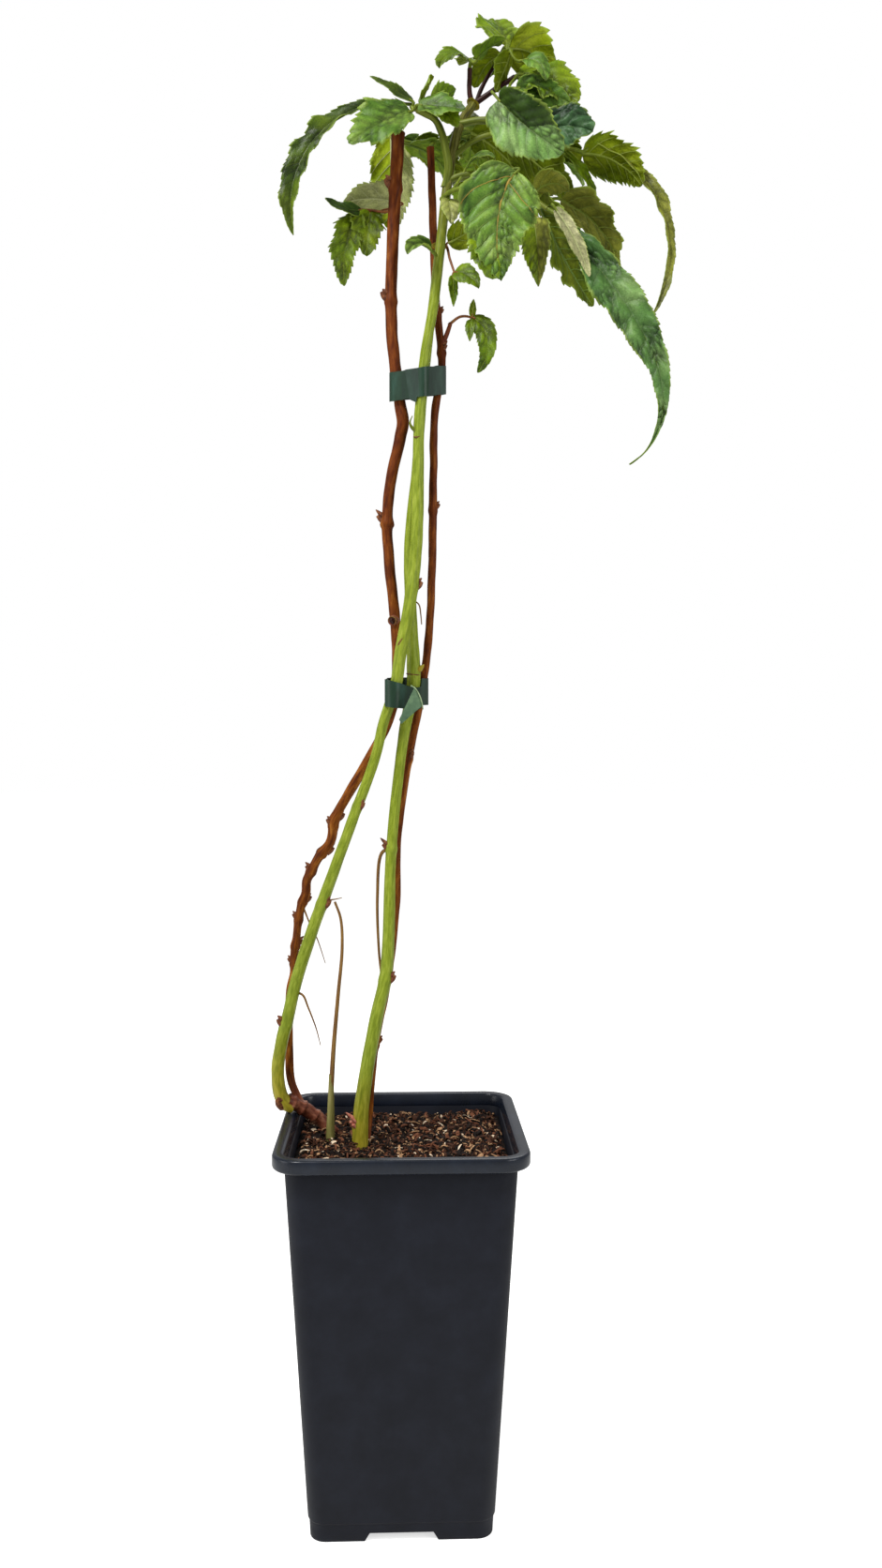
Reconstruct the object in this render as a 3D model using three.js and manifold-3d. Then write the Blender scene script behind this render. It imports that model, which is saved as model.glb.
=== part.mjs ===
// A raspberry in a square nursery pot: four tied canes, a thin young shoot and a leafy crown.
// Millimetres, +Z up. The plant is drawn with the pot's underside centre at 0, 0, 0, and the
// whole part is then moved so that its own box stands centred over the origin.
import * as THREE from "three";
import { mergeVertices } from "three/addons/utils/BufferGeometryUtils.js";
import { ConvexGeometry } from "three/addons/geometries/ConvexGeometry.js";
import Module from "manifold-3d";

const wasm = await Module();
wasm.setup();

// ---- Driving dimensions -------------------------------------------------------------------
const gap = 0.3; // air between two pieces that touch
const mergeWithin = 1e-4; // points this near each other are one point
const snapGrids = [0.02, 0.023, 0.027, 0.031, 0.017, 0.014, 0.011, 0.009, 0.007, 0.005]; // tried in this order
const limbClear = 0.4; // how much larger a limb is made where it cuts its neighbours
const rimSide = 170; // outside of the pot's rim
const rimHeight = 9.5;
const rimCorner = 21;
const potHeight = 260;
const potTopSide = 154; // body just under the rim
const potFootSide = 124.6; // body at the bottom
const potWall = 1.8;
const bodyCorner = 12;
const footHeight = 5.5;
const footLength = 41; // how far each foot runs along a side
const floorThick = 2.2;
const soilLevel = 245;
const drainHole = 14;
const drainPlace = 40; // drain holes from the centre, between the feet
const chipCount = 20;
const rootDepth = 8; // how far a cane's route runs on under the soil, where it is cut off
const tapeHeight = 19;
const tapeThick = 0.9;
const tapeClear = 0.9;
const leafThick = 1.1;
const stalkRadius = 1.3;
const twigStart = 1.6; // radii of the twig that a mass of leaves hangs on
const twigEnd = 1.3;
const leafStalkSink = 4; // how deep a leaf's stalk runs into its blade

// ---- Finishes -----------------------------------------------------------------------------
const paint = (color, roughness) => new THREE.MeshStandardMaterial({ color, roughness, metalness: 0 });
const potPlastic = paint("#2f3136", 0.55);
const bark = paint("#7a4526", 0.75);
const greenSkin = paint("#8a9c2e", 0.6);
const darkSkin = paint("#3f1d14", 0.55);
const leafGreen = paint("#4f7a2a", 0.7);
const compost = paint("#2a1a12", 0.95);
const tape = paint("#2f5a48", 0.5);

// ---- Solids -------------------------------------------------------------------------------
const manifoldOf = (points, corners) => {
  const vertProperties = new Float32Array(points);
  const triVerts = new Uint32Array(corners);
  return new wasm.Manifold(new wasm.Mesh({ numProp: 3, vertProperties, triVerts }));
};

const solidOf = (geometry) => {
  const bare = geometry.clone();
  bare.deleteAttribute("normal");
  bare.deleteAttribute("uv");
  const merged = mergeVertices(bare, mergeWithin);
  const points = merged.attributes.position.array;
  const corners = [...merged.index.array];
  const solid = manifoldOf(points, corners);
  return solid.volume() > 0 ? solid : manifoldOf(points, corners.reverse());
};

const join = (solids) => solids.reduce((whole, next) => whole.add(next));
const cut = (solid, tools) => tools.reduce((left, tool) => left.subtract(tool), solid);

// The largest of the bodies that a cut leaves; loose scraps are dropped.
const mainBody = (solid) =>
  solid.decompose().reduce((best, body) => (body.volume() > best.volume() ? body : best));

const geometryOf = (points, corners) => {
  const geometry = new THREE.BufferGeometry();
  geometry.setAttribute("position", new THREE.Float32BufferAttribute(points, 3));
  geometry.setIndex([...corners]);
  return geometry;
};

// True where each side of a triangle is met once, the other way round, by another triangle's side.
const isClosed = (corners) => {
  const sides = new Set();
  for (let i = 0; i < corners.length; i++) {
    const next = i % 3 === 2 ? i - 2 : i + 1;
    sides.add(`${corners[i]} ${corners[next]}`);
  }
  const reversed = [...sides].map((side) => side.split(" ").reverse().join(" "));
  return sides.size === corners.length && reversed.every((side) => sides.has(side));
};

// Corners are drawn onto a fine grid and those that fall together become one, so that cuts leave
// no slivers. The first grid that leaves the solid closed is taken.
const withoutSlivers = (solid) => {
  const { vertProperties, triVerts } = solid.getMesh();
  for (const grid of snapGrids) {
    const onGrid = [...vertProperties].map((value) => Math.round(value / grid) * grid);
    const merged = mergeVertices(geometryOf(onGrid, triVerts), mergeWithin);
    const corners = merged.index.array;
    const kept = [];
    for (let i = 0; i < corners.length; i += 3) {
      const [a, b, c] = corners.slice(i, i + 3);
      if (a !== b && b !== c && c !== a) kept.push(a, b, c);
    }
    if (isClosed(kept)) return manifoldOf(merged.attributes.position.array, kept);
  }
  return solid;
};

const plant = new THREE.Group();
const addNode = (name, solid, material) => {
  const body = withoutSlivers(mainBody(solid));
  const { vertProperties, triVerts } = body.getMesh();
  const mesh = new THREE.Mesh(geometryOf(vertProperties, triVerts), material);
  mesh.name = name;
  plant.add(mesh);
};

const randomFrom = (seed) => {
  let state = seed;
  return () => {
    state = (state * 16807) % 2147483647;
    return state / 2147483647;
  };
};

const degrees = Math.PI / 180;
const vector = ([x, y, z]) => new THREE.Vector3(x, y, z);

// ---- Limbs --------------------------------------------------------------------------------
const routeOf = (points) => new THREE.CatmullRomCurve3(points.map(vector), false, "centripetal");

// Points with both ends moved outwards by a length.
const lengthened = (points, extra) => {
  const ends = [points.slice(0, 2), points.slice(-2).reverse()].map(([end, next]) =>
    vector(end).addScaledVector(vector(end).sub(vector(next)).normalize(), extra).toArray(),
  );
  return [ends[0], ...points.slice(1, -1), ends[1]];
};

// A round limb that tapers evenly from one radius to the other, flat at both ends. grow makes it
// larger all round.
const limb = (points, startRadius, endRadius, { sides = 8, steps = 12, grow = 0 } = {}) => {
  const route = routeOf(lengthened(points, grow));
  const ring = [...Array(sides).keys()].map(
    (k) => new THREE.Vector2(Math.cos((2 * Math.PI * k) / sides), Math.sin((2 * Math.PI * k) / sides)),
  );
  const geometry = new THREE.ExtrudeGeometry(new THREE.Shape(ring), {
    steps,
    bevelEnabled: false,
    extrudePath: route,
  });
  const centres = route.getSpacedPoints(steps);
  const place = geometry.attributes.position;
  const point = new THREE.Vector3();
  for (let i = 0; i < place.count; i++) {
    point.fromBufferAttribute(place, i);
    const distances = centres.map((centre) => centre.distanceToSquared(point));
    const nearest = distances.indexOf(Math.min(...distances));
    const radius = startRadius + ((endRadius - startRadius) * nearest) / steps + grow;
    point.sub(centres[nearest]).multiplyScalar(radius).add(centres[nearest]);
    place.setXYZ(i, point.x, point.y, point.z);
  }
  return solidOf(geometry);
};

const pointAtHeight = (points, height) => {
  const samples = routeOf(points).getSpacedPoints(200);
  return samples.reduce((best, p) => (Math.abs(p.z - height) < Math.abs(best.z - height) ? p : best));
};

// A pointed bud that leans out of a cane.
const bud = (centre, radius, side, length) => {
  const cone = new THREE.ConeGeometry(radius * 0.6, length + radius, 4);
  cone.rotateX(90 * degrees);
  cone.translate(0, 0, (length + radius) / 2);
  const lean = new THREE.Vector3(Math.cos(side * degrees), Math.sin(side * degrees), 0.8).normalize();
  cone.applyQuaternion(new THREE.Quaternion().setFromUnitVectors(new THREE.Vector3(0, 0, 1), lean));
  cone.translate(centre.x, centre.y, centre.z);
  return solidOf(cone);
};

const radiusAt = ({ points, start, end }, height) => {
  const share = (height - points[0][2]) / (points.at(-1)[2] - points[0][2]);
  return start + (end - start) * Math.min(Math.max(share, 0), 1);
};

const cane = (spec) => {
  const { points, start, end, steps, buds, oldStalk } = spec;
  const shaft = limb(points, start, end, { steps });
  const cones = buds.map(([height, side, length]) =>
    bud(pointAtHeight(points, height), radiusAt(spec, height), side, length),
  );
  const withered = oldStalk ? [limb(oldStalk, 1.2, 0.8, { sides: 5, steps: 8 })] : [];
  return join([shaft, ...cones, ...withered]);
};

// ---- Pot ----------------------------------------------------------------------------------
// A lathed profile whose rings are squared off: each point is half a side, a height and the
// radius of the corners at that height.
const cornerSteps = 4;
const ringSteps = 4 * (cornerSteps + 1);
const squarePoint = (k, half, corner) => {
  const quarter = Math.floor(k / (cornerSteps + 1)) % 4;
  const turn = (quarter + (k % (cornerSteps + 1)) / cornerSteps) * 90 * degrees;
  const middle = (quarter * 90 + 45) * degrees;
  const centre = (half - corner) * Math.SQRT2;
  return [
    centre * Math.cos(middle) + corner * Math.cos(turn),
    centre * Math.sin(middle) + corner * Math.sin(turn),
  ];
};
const squareLathe = (profile) => {
  const outline = profile.map(([half, height]) => new THREE.Vector2(half, height));
  const geometry = new THREE.LatheGeometry(outline, ringSteps);
  const place = geometry.attributes.position;
  for (let i = 0; i < place.count; i++) {
    const [half, height, corner = 0] = profile[i % profile.length];
    const k = Math.floor(i / profile.length) % ringSteps;
    const [x, y] = half === 0 ? [0, 0] : squarePoint(k, half, Math.min(corner, half));
    place.setXYZ(i, x, y, height);
  }
  return solidOf(geometry);
};

const blockAt = (size, centre) => {
  const geometry = new THREE.BoxGeometry(...size);
  geometry.translate(...centre);
  return solidOf(geometry);
};

const rimHalf = rimSide / 2;
const topHalf = potTopSide / 2;
const footHalf = potFootSide / 2;
const rimUnder = potHeight - rimHeight;
const floorTop = footHeight + floorThick;
const halfAt = (z) => footHalf + ((topHalf - footHalf) * (z - footHeight)) / (rimUnder - footHeight);

// The four corner feet: a low slab with a channel across it each way.
const makeFeet = () => {
  const slab = squareLathe([
    [0, 0],
    [footHalf - 3.5, 0, bodyCorner - 2],
    [footHalf - 1.6, 1.4, bodyCorner - 1],
    [footHalf - 1.2, footHeight + 1, bodyCorner - 1],
    [0, footHeight + 1],
  ]);
  const opening = footHalf - footLength;
  const channel = new THREE.Shape([
    new THREE.Vector2(-opening - 2, -1),
    new THREE.Vector2(opening + 2, -1),
    new THREE.Vector2(opening - 1.5, footHeight),
    new THREE.Vector2(-opening + 1.5, footHeight),
  ]);
  const along = new THREE.ExtrudeGeometry(channel, { depth: rimSide, bevelEnabled: false });
  along.translate(0, 0, -rimSide / 2);
  along.rotateX(90 * degrees);
  const across = along.clone().rotateZ(90 * degrees);
  return cut(slab, [solidOf(along), solidOf(across)]);
};

const makePot = () => {
  const shell = squareLathe([
    [0, footHeight],
    [footHalf - 3, footHeight, bodyCorner - 2],
    [footHalf - 0.8, footHeight + 0.8, bodyCorner],
    [footHalf - 0.8, footHeight + 6, bodyCorner],
    [halfAt(footHeight + 7), footHeight + 7, bodyCorner],
    [topHalf - 1, rimUnder - 5, bodyCorner + 3],
    [topHalf + 0.5, rimUnder, bodyCorner + 4],
    [rimHalf - 1, rimUnder, rimCorner - 1],
    [rimHalf, rimUnder + 1, rimCorner],
    [rimHalf - 0.4, potHeight - 2, rimCorner],
    [rimHalf - 2.2, potHeight, rimCorner - 1],
    [rimHalf - 7.2, potHeight, rimCorner - 5],
    [rimHalf - 8, potHeight - 1, rimCorner - 5],
    [rimHalf - 8.4, potHeight - 10, rimCorner - 6],
    [topHalf - potWall, rimUnder - 2, bodyCorner],
    [halfAt(floorTop) - potWall, floorTop, bodyCorner - 2],
    [0, floorTop],
  ]);
  const holes = [[0, 0], [1, 0], [0, 1], [-1, 0], [0, -1]].map(([x, y]) => {
    const hole = new THREE.CylinderGeometry(drainHole / 2, drainHole / 2, 4 * footHeight, 12);
    hole.rotateX(90 * degrees);
    hole.translate(x * drainPlace, y * drainPlace, footHeight);
    return solidOf(hole);
  });
  return cut(shell.add(makeFeet()), holes);
};

const makeSoil = (rising) => {
  const low = floorTop + gap;
  const lowHalf = halfAt(floorTop) - potWall - gap * 1.5;
  const highHalf = halfAt(soilLevel) - potWall - 1.2;
  const bed = squareLathe([
    [0, low],
    [lowHalf, low, bodyCorner - 2],
    [highHalf - 1, soilLevel - 8, bodyCorner - 1],
    [highHalf - 1, soilLevel - 2.5, bodyCorner - 1],
    [highHalf - 9, soilLevel - gap, bodyCorner - 4],
    [0, soilLevel - gap],
  ]);
  const feet = rising.map(({ points, start }) => {
    const { x, y } = pointAtHeight(points, soilLevel);
    return { x, y, clear: start + 5 };
  });
  const random = randomFrom(41);
  const chips = [];
  while (chips.length < chipCount) {
    const x = (random() - 0.5) * 2 * (highHalf - 10);
    const y = (random() - 0.5) * 2 * (highHalf - 10);
    const turn = random() * 180;
    const length = 7 + random() * 8;
    if (feet.some((foot) => Math.hypot(x - foot.x, y - foot.y) < foot.clear + length / 2)) continue;
    const chip = new THREE.BoxGeometry(length, 3 + random() * 3, 4);
    chip.rotateY((random() - 0.5) * 24 * degrees);
    chip.rotateZ(turn * degrees);
    chip.translate(x, y, soilLevel - 0.6 + random());
    chips.push(solidOf(chip));
  }
  return join([bed, ...chips]);
};

// ---- Canes and boughs -----------------------------------------------------------------------
// Routes run upwards, those from the ground from a little way under the soil. A bud is a height,
// the side it leans to in degrees and its length. The routes keep clear of their neighbours.
const stump = {
  points: [[-45.8, 36, 238.5], [-64, 33.5, 255], [-73, 32, 263.5], [-89, 27, 274]],
  start: 5.2,
  end: 4.2,
  steps: 8,
  buds: [],
};
const greenLeft = {
  points: [
    [-87, 26, 270], [-89, 24, 293], [-78, 14, 356], [-53, 2, 421], [-37, -6, 468], [-3, -14, 589],
    [10, -12, 668], [13, -10, 760], [35, -7, 937], [42, -3, 965], [51, 1.5, 981],
  ],
  start: 4.5,
  end: 3,
  steps: 30,
  buds: [[329, 190, 4], [417, -30, 4], [487, -40, 3], [598, 180, 3], [640, 10, 4]],
};
const greenMiddle = {
  points: [
    [-29.2, -5.2, 238], [-28, -4, 273], [-17, -2, 338], [-11, 0, 365], [-7, 2, 458], [8, -1, 591],
    [6, -1, 620], [5, -1, 670], [11, 0, 723], [16, 1, 783], [27, 0, 880],
  ],
  start: 5.4,
  end: 2.6,
  steps: 24,
  oldStalk: [[-8, 2, 455], [-14, 4, 451], [-17, 5, 421], [-16, 6, 382], [-14, 5, 362]],
  buds: [[262, 190, 4], [364, -10, 4], [456, 200, 7], [584, 10, 5]],
};
const brownLeft = {
  points: [
    [-85, 36, 268], [-78, 30, 374], [-62, 22, 446], [-46, 14, 484], [-7, 0, 551], [-3, 1, 591],
    [-10, 3, 684], [-7, 2, 717], [-1, 1, 746], [-1, 0, 773], [-7, 0, 829], [-2, 0, 959],
  ],
  start: 4.4,
  end: 3.9,
  steps: 30,
  buds: [
    [372, 190, 3], [385, 10, 4], [404, 180, 3], [440, 185, 4], [453, 170, 5], [480, 20, 4],
    [690, 185, 6], [762, -20, 5], [924, 190, 4],
  ],
};
const brownRight = {
  points: [
    [-18.3, 9, 238], [-15, 9, 310], [-8, 12, 360], [-3, 13, 417], [-3, 13, 457], [3, 12, 505],
    [19, 9, 598], [26, 9, 759], [27, 8, 800], [24, 9, 845], [21, 10, 954],
  ],
  start: 3.4,
  end: 2.8,
  steps: 22,
  buds: [[317, 190, 3], [522, -60, 3]],
};
const youngShoot = {
  points: [
    [-51, 10, 238], [-50, 7, 290], [-42, 3, 384], [-47, 0, 417],
  ],
  start: 3.8,
  end: 0.9,
  steps: 16,
  buds: [],
};

const boughs = {
  leader_left: { points: [[51, 2, 980], [48.5, 1, 988], [48.5, 0, 1005]], start: 2, end: 1.6 },
  leader_middle: { points: [[53, 3, 982], [57, 3, 993], [71, 4, 1018]], start: 1.6, end: 1.1 },
  leader_right: { points: [[54, 2, 983], [66, -1, 990], [80, -5, 997]], start: 1.9, end: 1.7 },
  bough_left: {
    points: [[31, -8, 918], [33, -11, 930], [31, -12, 942], [28, -12, 954], [23, -12, 963], [11, -12, 969]],
    start: 2.8,
    end: 2.2,
  },
  bough_right: { points: [[42, -4, 964], [54, -9, 964], [74, -15, 960]], start: 2.6, end: 2 },
  bough_arch: {
    points: [[36, -7, 939], [50, -12, 948], [62, -15, 951], [80, -11, 953], [123, -10, 944]],
    start: 1.8,
    end: 1.4,
  },
  bough_droop: {
    points: [[32, -6, 921], [44, 8, 932], [58, 11, 935], [76, 7, 930], [90, 0, 920]],
    start: 2.1,
    end: 1.6,
  },
  bough_long: {
    points: [[32, -8, 922], [46, -12, 925], [68, -14, 922], [88, -17, 909], [101, -23, 897]],
    start: 2.2,
    end: 1.7,
  },
  bough_rear: { points: [[46, -1, 971], [51, 12, 979], [66, 44, 985]], start: 2.3, end: 1.7 },
  bough_side: { points: [[28, 8, 811], [32, 6, 819], [35, 4, 827]], start: 2, end: 1.5 },
};

// ---- Leaves -----------------------------------------------------------------------------------
// The half width of a blade along its midrib, 0 at the base to 1 at the tip: round at the base,
// widest at a third, drawn out to the tip.
const bladeProfile = (s, taper, belly) => Math.max(Math.sin(Math.PI * s ** belly) ** taper, 0.07);

// Frames down the midrib. heading and rise are the way it sets out, in degrees round Z and up
// from level; fall is the slope it ends at, swing is how far the heading turns, and hook bends
// the droop towards the tip.
const bladeFrames = (leaf, steps) => {
  const { at, heading, rise, fall, swing = 0, length, roll = 0, twist = 0, hook = 1 } = leaf;
  const place = vector(at);
  const fine = 4;
  const frames = [];
  for (let i = 0; i <= steps * fine; i++) {
    const s = i / (steps * fine);
    const turn = (heading + swing * s ** hook) * degrees;
    const slope = (rise + (fall - rise) * s ** hook) * degrees;
    const ahead = new THREE.Vector3(
      Math.cos(slope) * Math.cos(turn),
      Math.cos(slope) * Math.sin(turn),
      Math.sin(slope),
    );
    const level = new THREE.Vector3(-Math.sin(turn), Math.cos(turn), 0);
    const up = new THREE.Vector3().crossVectors(ahead, level);
    const bank = (roll + twist * s) * degrees;
    const side = level.multiplyScalar(Math.cos(bank)).addScaledVector(up, Math.sin(bank));
    if (i % fine === 0) {
      const face = new THREE.Vector3().crossVectors(ahead, side);
      frames.push({ place: place.clone(), ahead, side, face });
    }
    place.addScaledVector(ahead, length / (steps * fine));
  }
  return frames;
};

// A segmented box bent along the midrib: folded along it, curled at the margin and toothed.
const blade = (leaf, grow = 0) => {
  const { length, width, fold = 14, curl = 0.14, taper = 0.7, belly = 0.6, lean = 0.25 } = leaf;
  const thick = Math.max(leafThick, length / 90) + grow;
  const steps = length > 100 ? 9 : length > 40 ? 5 : 3;
  const frames = bladeFrames(leaf, steps);
  const geometry = new THREE.BoxGeometry(2, 1, 1, 2, steps, 1);
  const place = geometry.attributes.position;
  for (let i = 0; i < place.count; i++) {
    const u = place.getX(i);
    const s = place.getY(i) + 0.5;
    const row = Math.round(s * steps);
    const { place: spine, ahead, side, face } = frames[row];
    const tooth = Math.abs(u) > 0.99 ? 1 + 0.06 * (row % 2 ? 1 : -1) : 1;
    const half = Math.max((width / 2) * bladeProfile(s, taper, belly) * tooth, 0.8) + grow / 2;
    const out = Math.abs(u) * half;
    const point = spine
      .clone()
      .addScaledVector(side, u * half * Math.cos(fold * degrees))
      .addScaledVector(face, out * Math.sin(fold * degrees) - curl * half * u * u + place.getZ(i) * thick)
      .addScaledVector(ahead, lean * out * (1 - s) * Math.min(1, 3 * s));
    place.setXYZ(i, point.x, point.y, point.z);
  }
  return solidOf(geometry);
};

// The stalk leaves the nearest point of the mass's stem and runs a little way up the blade.
const stalk = (stem, leaf) => {
  const base = vector(leaf.at);
  const samples = routeOf(stem).getSpacedPoints(12).slice(3);
  const root = samples.reduce((best, p) => (p.distanceTo(base) < best.distanceTo(base) ? p : best));
  const [first] = bladeFrames(leaf, 4);
  const reach = root.distanceTo(base);
  const before = base.clone().addScaledVector(first.ahead, -Math.min(reach * 0.45, 14));
  const inside = base.clone().addScaledVector(first.ahead, Math.min(leafStalkSink, leaf.length / 4));
  const route = [root, before, inside].map((p) => p.toArray());
  return limb(route, stalkRadius, leafThick * 0.4, { sides: 3, steps: reach > 25 ? 4 : 3 });
};

const leaf = (at, [heading, rise, fall, swing = 0], [length, width], more = {}) => ({
  at, heading, rise, fall, swing, length, width, ...more,
});

// Leaves dealt out along a stem by a seeded rule, fanned evenly between two headings.
const fannedLeaves = (seed, stem, { count, from, to, shortest, longest, fall = -70 }) => {
  const random = randomFrom(seed);
  const route = routeOf(stem);
  return [...Array(count).keys()].map((i) => {
    const root = route.getPoint(0.25 + (0.75 * (i + 0.5)) / count);
    const heading = from + ((to - from) * ((i * 3) % count)) / (count - 1) + (random() - 0.5) * 14;
    const rise = 5 + random() * 30;
    const length = shortest + random() * (longest - shortest);
    const stalkLength = 10 + random() * 8;
    const level = Math.cos(rise * degrees) * stalkLength;
    const at = [
      root.x + Math.cos(heading * degrees) * level,
      root.y + Math.sin(heading * degrees) * level,
      root.z + Math.sin(rise * degrees) * stalkLength,
    ];
    const size = [length, length * (0.52 + random() * 0.12)];
    const bends = [heading, rise, fall + random() * 20];
    return leaf(at, bends, size, { roll: (random() - 0.5) * 40, taper: 0.6 });
  });
};

// Each mass has a stem that starts in the limb it grows from and is cut clear of it.
const masses = {
  foliage_top: {
    stem: [[71.3, 4, 1018.5], [73, 2, 1021], [75, -2, 1021]],
    leaves: [
      leaf([75, 0, 1022], [72, 60, 48], [42, 42], { taper: 0.6 }),
      leaf([76, -4, 1017], [20, 30, -70, -12], [40, 33], { roll: -45 }),
      leaf([77, -4, 1014], [-157, -66, -72, -20], [31, 19], { roll: 50 }),
      leaf([86, -14, 1004], [-40, -15, -91, 20], [27, 16], { roll: 50 }),
      leaf([72, 6, 1019], [125, 20, -60, 0], [36, 24], { taper: 0.6 }),
    ],
  },
  foliage_top_left: {
    stem: [[48.5, 0, 1005.4], [48.8, 0, 1008], [49.5, -1, 1011]],
    leaves: [
      leaf([47, 0, 1012], [-152, 15, -83], [30, 20], { roll: -40 }),
      leaf([53, -6, 1008], [-40, 35, 0, 20], [24, 26], { roll: 20 }),
      leaf([49, 3, 1012], [110, 40, 0], [22, 16]),
    ],
  },
  foliage_top_right: {
    stem: [[80.4, -5.1, 997.2], [83, -6, 998], [86, -6, 998]],
    leaves: [
      leaf([82, -6, 996], [-11, -1, -57], [48, 42], { roll: 60, taper: 0.6 }),
      leaf([86, -2, 999], [40, 15, -50], [44, 30], { taper: 0.6 }),
    ],
  },
  foliage_right: {
    stem: [[74.4, -15.1, 959.8], [85, -17, 956], [100, -16, 951], [112, -16, 947]],
    leaves: [
      leaf([67, -30, 955], [-31, -46, -28, 29], [56, 44], { roll: 82, fold: 25, taper: 0.6 }),
      leaf([95, -24, 949], [-23, 10, -28, 14], [38, 36], { roll: 78, taper: 0.5 }),
      leaf([105, -6, 954], [13, -18, -54, -17], [27, 24], { roll: -30 }),
      leaf([78, 8, 959], [6, -37, -47, -29], [61, 42], { roll: -30, taper: 0.6 }),
      leaf([114, -4, 948], [-8, -43, -76, -6], [45, 11], { roll: 50, taper: 0.6 }),
    ],
  },
  foliage_right_arch: {
    stem: [[123.4, -10, 943.9], [127, -10, 943], [131, -11, 945]],
    leaves: [
      leaf([127, -10, 942], [-10, -5, -62], [50, 32], { roll: -45, taper: 0.6 }),
      leaf([136, -12, 948], [-9, -25, -121], [143, 14], { roll: 60, taper: 0.5 }),
    ],
  },
  foliage_front: {
    stem: [[29, -8, 910], [34, -20, 909], [44, -30, 908], [61, -42, 911], [70, -47, 911]],
    leaves: [
      leaf([66, -48, 911], [-95, -58, -91], [82, 54], { taper: 0.65 }),
      leaf([61, -44, 875], [-90, -75, -91], [38, 31], { taper: 0.5 }),
      leaf([45, -14, 928], [-30, 54, -54], [26, 13], { roll: 40 }),
      leaf([33, -14, 907], [-80, -56, -81], [23, 14]),
    ],
  },
  foliage_droop: {
    stem: [[90.3, -0.2, 919.7], [96, -6, 914], [106, -5, 912]],
    leaves: [
      leaf([92, -16, 893], [-80, -62, -95], [53, 26], { taper: 0.8 }),
      leaf([96, -10, 909], [-30, -68, -58], [91, 38], { roll: -40, taper: 0.6 }),
      leaf([113, -2, 913], [3, -21, -81, -14], [67, 38], { roll: -20, taper: 0.6 }),
      leaf([95, -6, 917], [-23, 36, -57, 16], [26, 20], { roll: -40 }),
    ],
  },
  foliage_long: {
    stem: [[101.3, -23.1, 896.7], [104, -25, 894], [108, -28, 890]],
    leaves: [
      leaf([107, -28, 892], [-21, -51, -79, 9], [48, 14], { roll: -60, taper: 0.5 }),
      leaf([108, -28, 891], [-27, -55, -168, -5], [206, 32], { roll: 75, taper: 1.45, hook: 4 }),
    ],
  },
  foliage_left: {
    stem: [[10.6, -12, 969.1], [8, -12, 970], [7, -10, 972]],
    leaves: [
      leaf([6, -8, 975], [-168, 0, -104, -6], [147, 21], { roll: -55, taper: 0.6, belly: 1.3 }),
      leaf([8, -14, 965], [-137, -22, -50, -20], [64, 36], { roll: -68, taper: 0.6 }),
      leaf([8, -6, 975], [-169, 34, 27, -14], [33, 12], { roll: -30 }),
      leaf([12, -16, 970], [-20, -11, -17], [35, 24], { roll: 60 }),
      leaf([14, -10, 975], [6, 71, 59], [21, 20]),
      leaf([20, -8, 973], [20, 41, 41], [26, 22], { roll: -40 }),
      leaf([24, -18, 968], [-20, -31, -66], [23, 16], { roll: 60 }),
    ],
  },
  foliage_left_low: {
    stem: [[-6, 0, 905], [-12, 10, 908], [-22, 16, 912], [-30, 16, 912]],
    leaves: [
      leaf([-32, 15, 909], [-137, -58, -98], [58, 28], { roll: -42, taper: 0.5 }),
      leaf([-28, 16, 912], [-149, -18, 39, -28], [29, 14], { roll: -60 }),
      leaf([-10, 22, 923], [-175, 14, -33, 12], [33, 24], { roll: 36 }),
      leaf([-18, 19, 913], [-105, -60, -95], [38, 22], { roll: -15, taper: 0.5 }),
    ],
  },
  foliage_small_left: {
    stem: [[25, -8, 869], [20, -13, 871], [17, -14, 872]],
    leaves: [leaf([18, -14, 873], [-150, 40, -75], [24, 13], { roll: -50 })],
  },
  foliage_small_right: {
    stem: [[27.1, 0, 880.4], [31.5, -3, 879], [34, -8, 868], [37, -12, 857]],
    leaves: [
      leaf([33, -8, 879], [-20, 20, 30], [26, 20], { roll: -40 }),
      leaf([37, -14, 856], [-42, -10, -71, 20], [26, 15], { roll: 65 }),
      leaf([36, -12, 855], [-82, -77, -91], [23, 7]),
    ],
  },
  foliage_side: {
    stem: [[35.2, 3.9, 827.3], [41, 2, 831], [45, 0, 831], [49.5, -3.5, 829]],
    leaves: [
      leaf([50, -4, 829], [-67, 81, 75], [12, 6]),
      leaf([50, -4, 829], [-30, -34, -140], [46, 15], { roll: 70, taper: 0.6 }),
      leaf([49, -4, 827], [-100, -60, -83], [18, 7]),
    ],
  },
};
const rearStem = [[21, 10, 954.4], [24, 18, 962], [34, 30, 970], [44, 40, 972]];
const rearRightStem = [[66.2, 44.4, 985], [70, 54, 984], [78, 62, 981]];
const rearLeftStem = [[-3, 0, 948], [-5, 12, 960], [-7, 28, 971]];
masses.foliage_rear = {
  stem: rearStem,
  leaves: [
    leaf([51, 22, 972], [6, -24, -62], [55, 36], { roll: -30, taper: 0.6 }),
    ...fannedLeaves(7, rearStem, { count: 3, from: 50, to: 150, shortest: 52, longest: 66 }),
  ],
};
masses.foliage_rear_right = {
  stem: rearRightStem,
  leaves: fannedLeaves(19, rearRightStem, { count: 5, from: -20, to: 120, shortest: 54, longest: 72 }),
};
masses.foliage_rear_left = {
  stem: rearLeftStem,
  leaves: [
    leaf([-7, 30, 972], [90, -80, -95], [61, 30], { taper: 0.5 }),
    ...fannedLeaves(31, rearLeftStem, { count: 3, from: 40, to: 105, shortest: 42, longest: 52 }),
  ],
};

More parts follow.
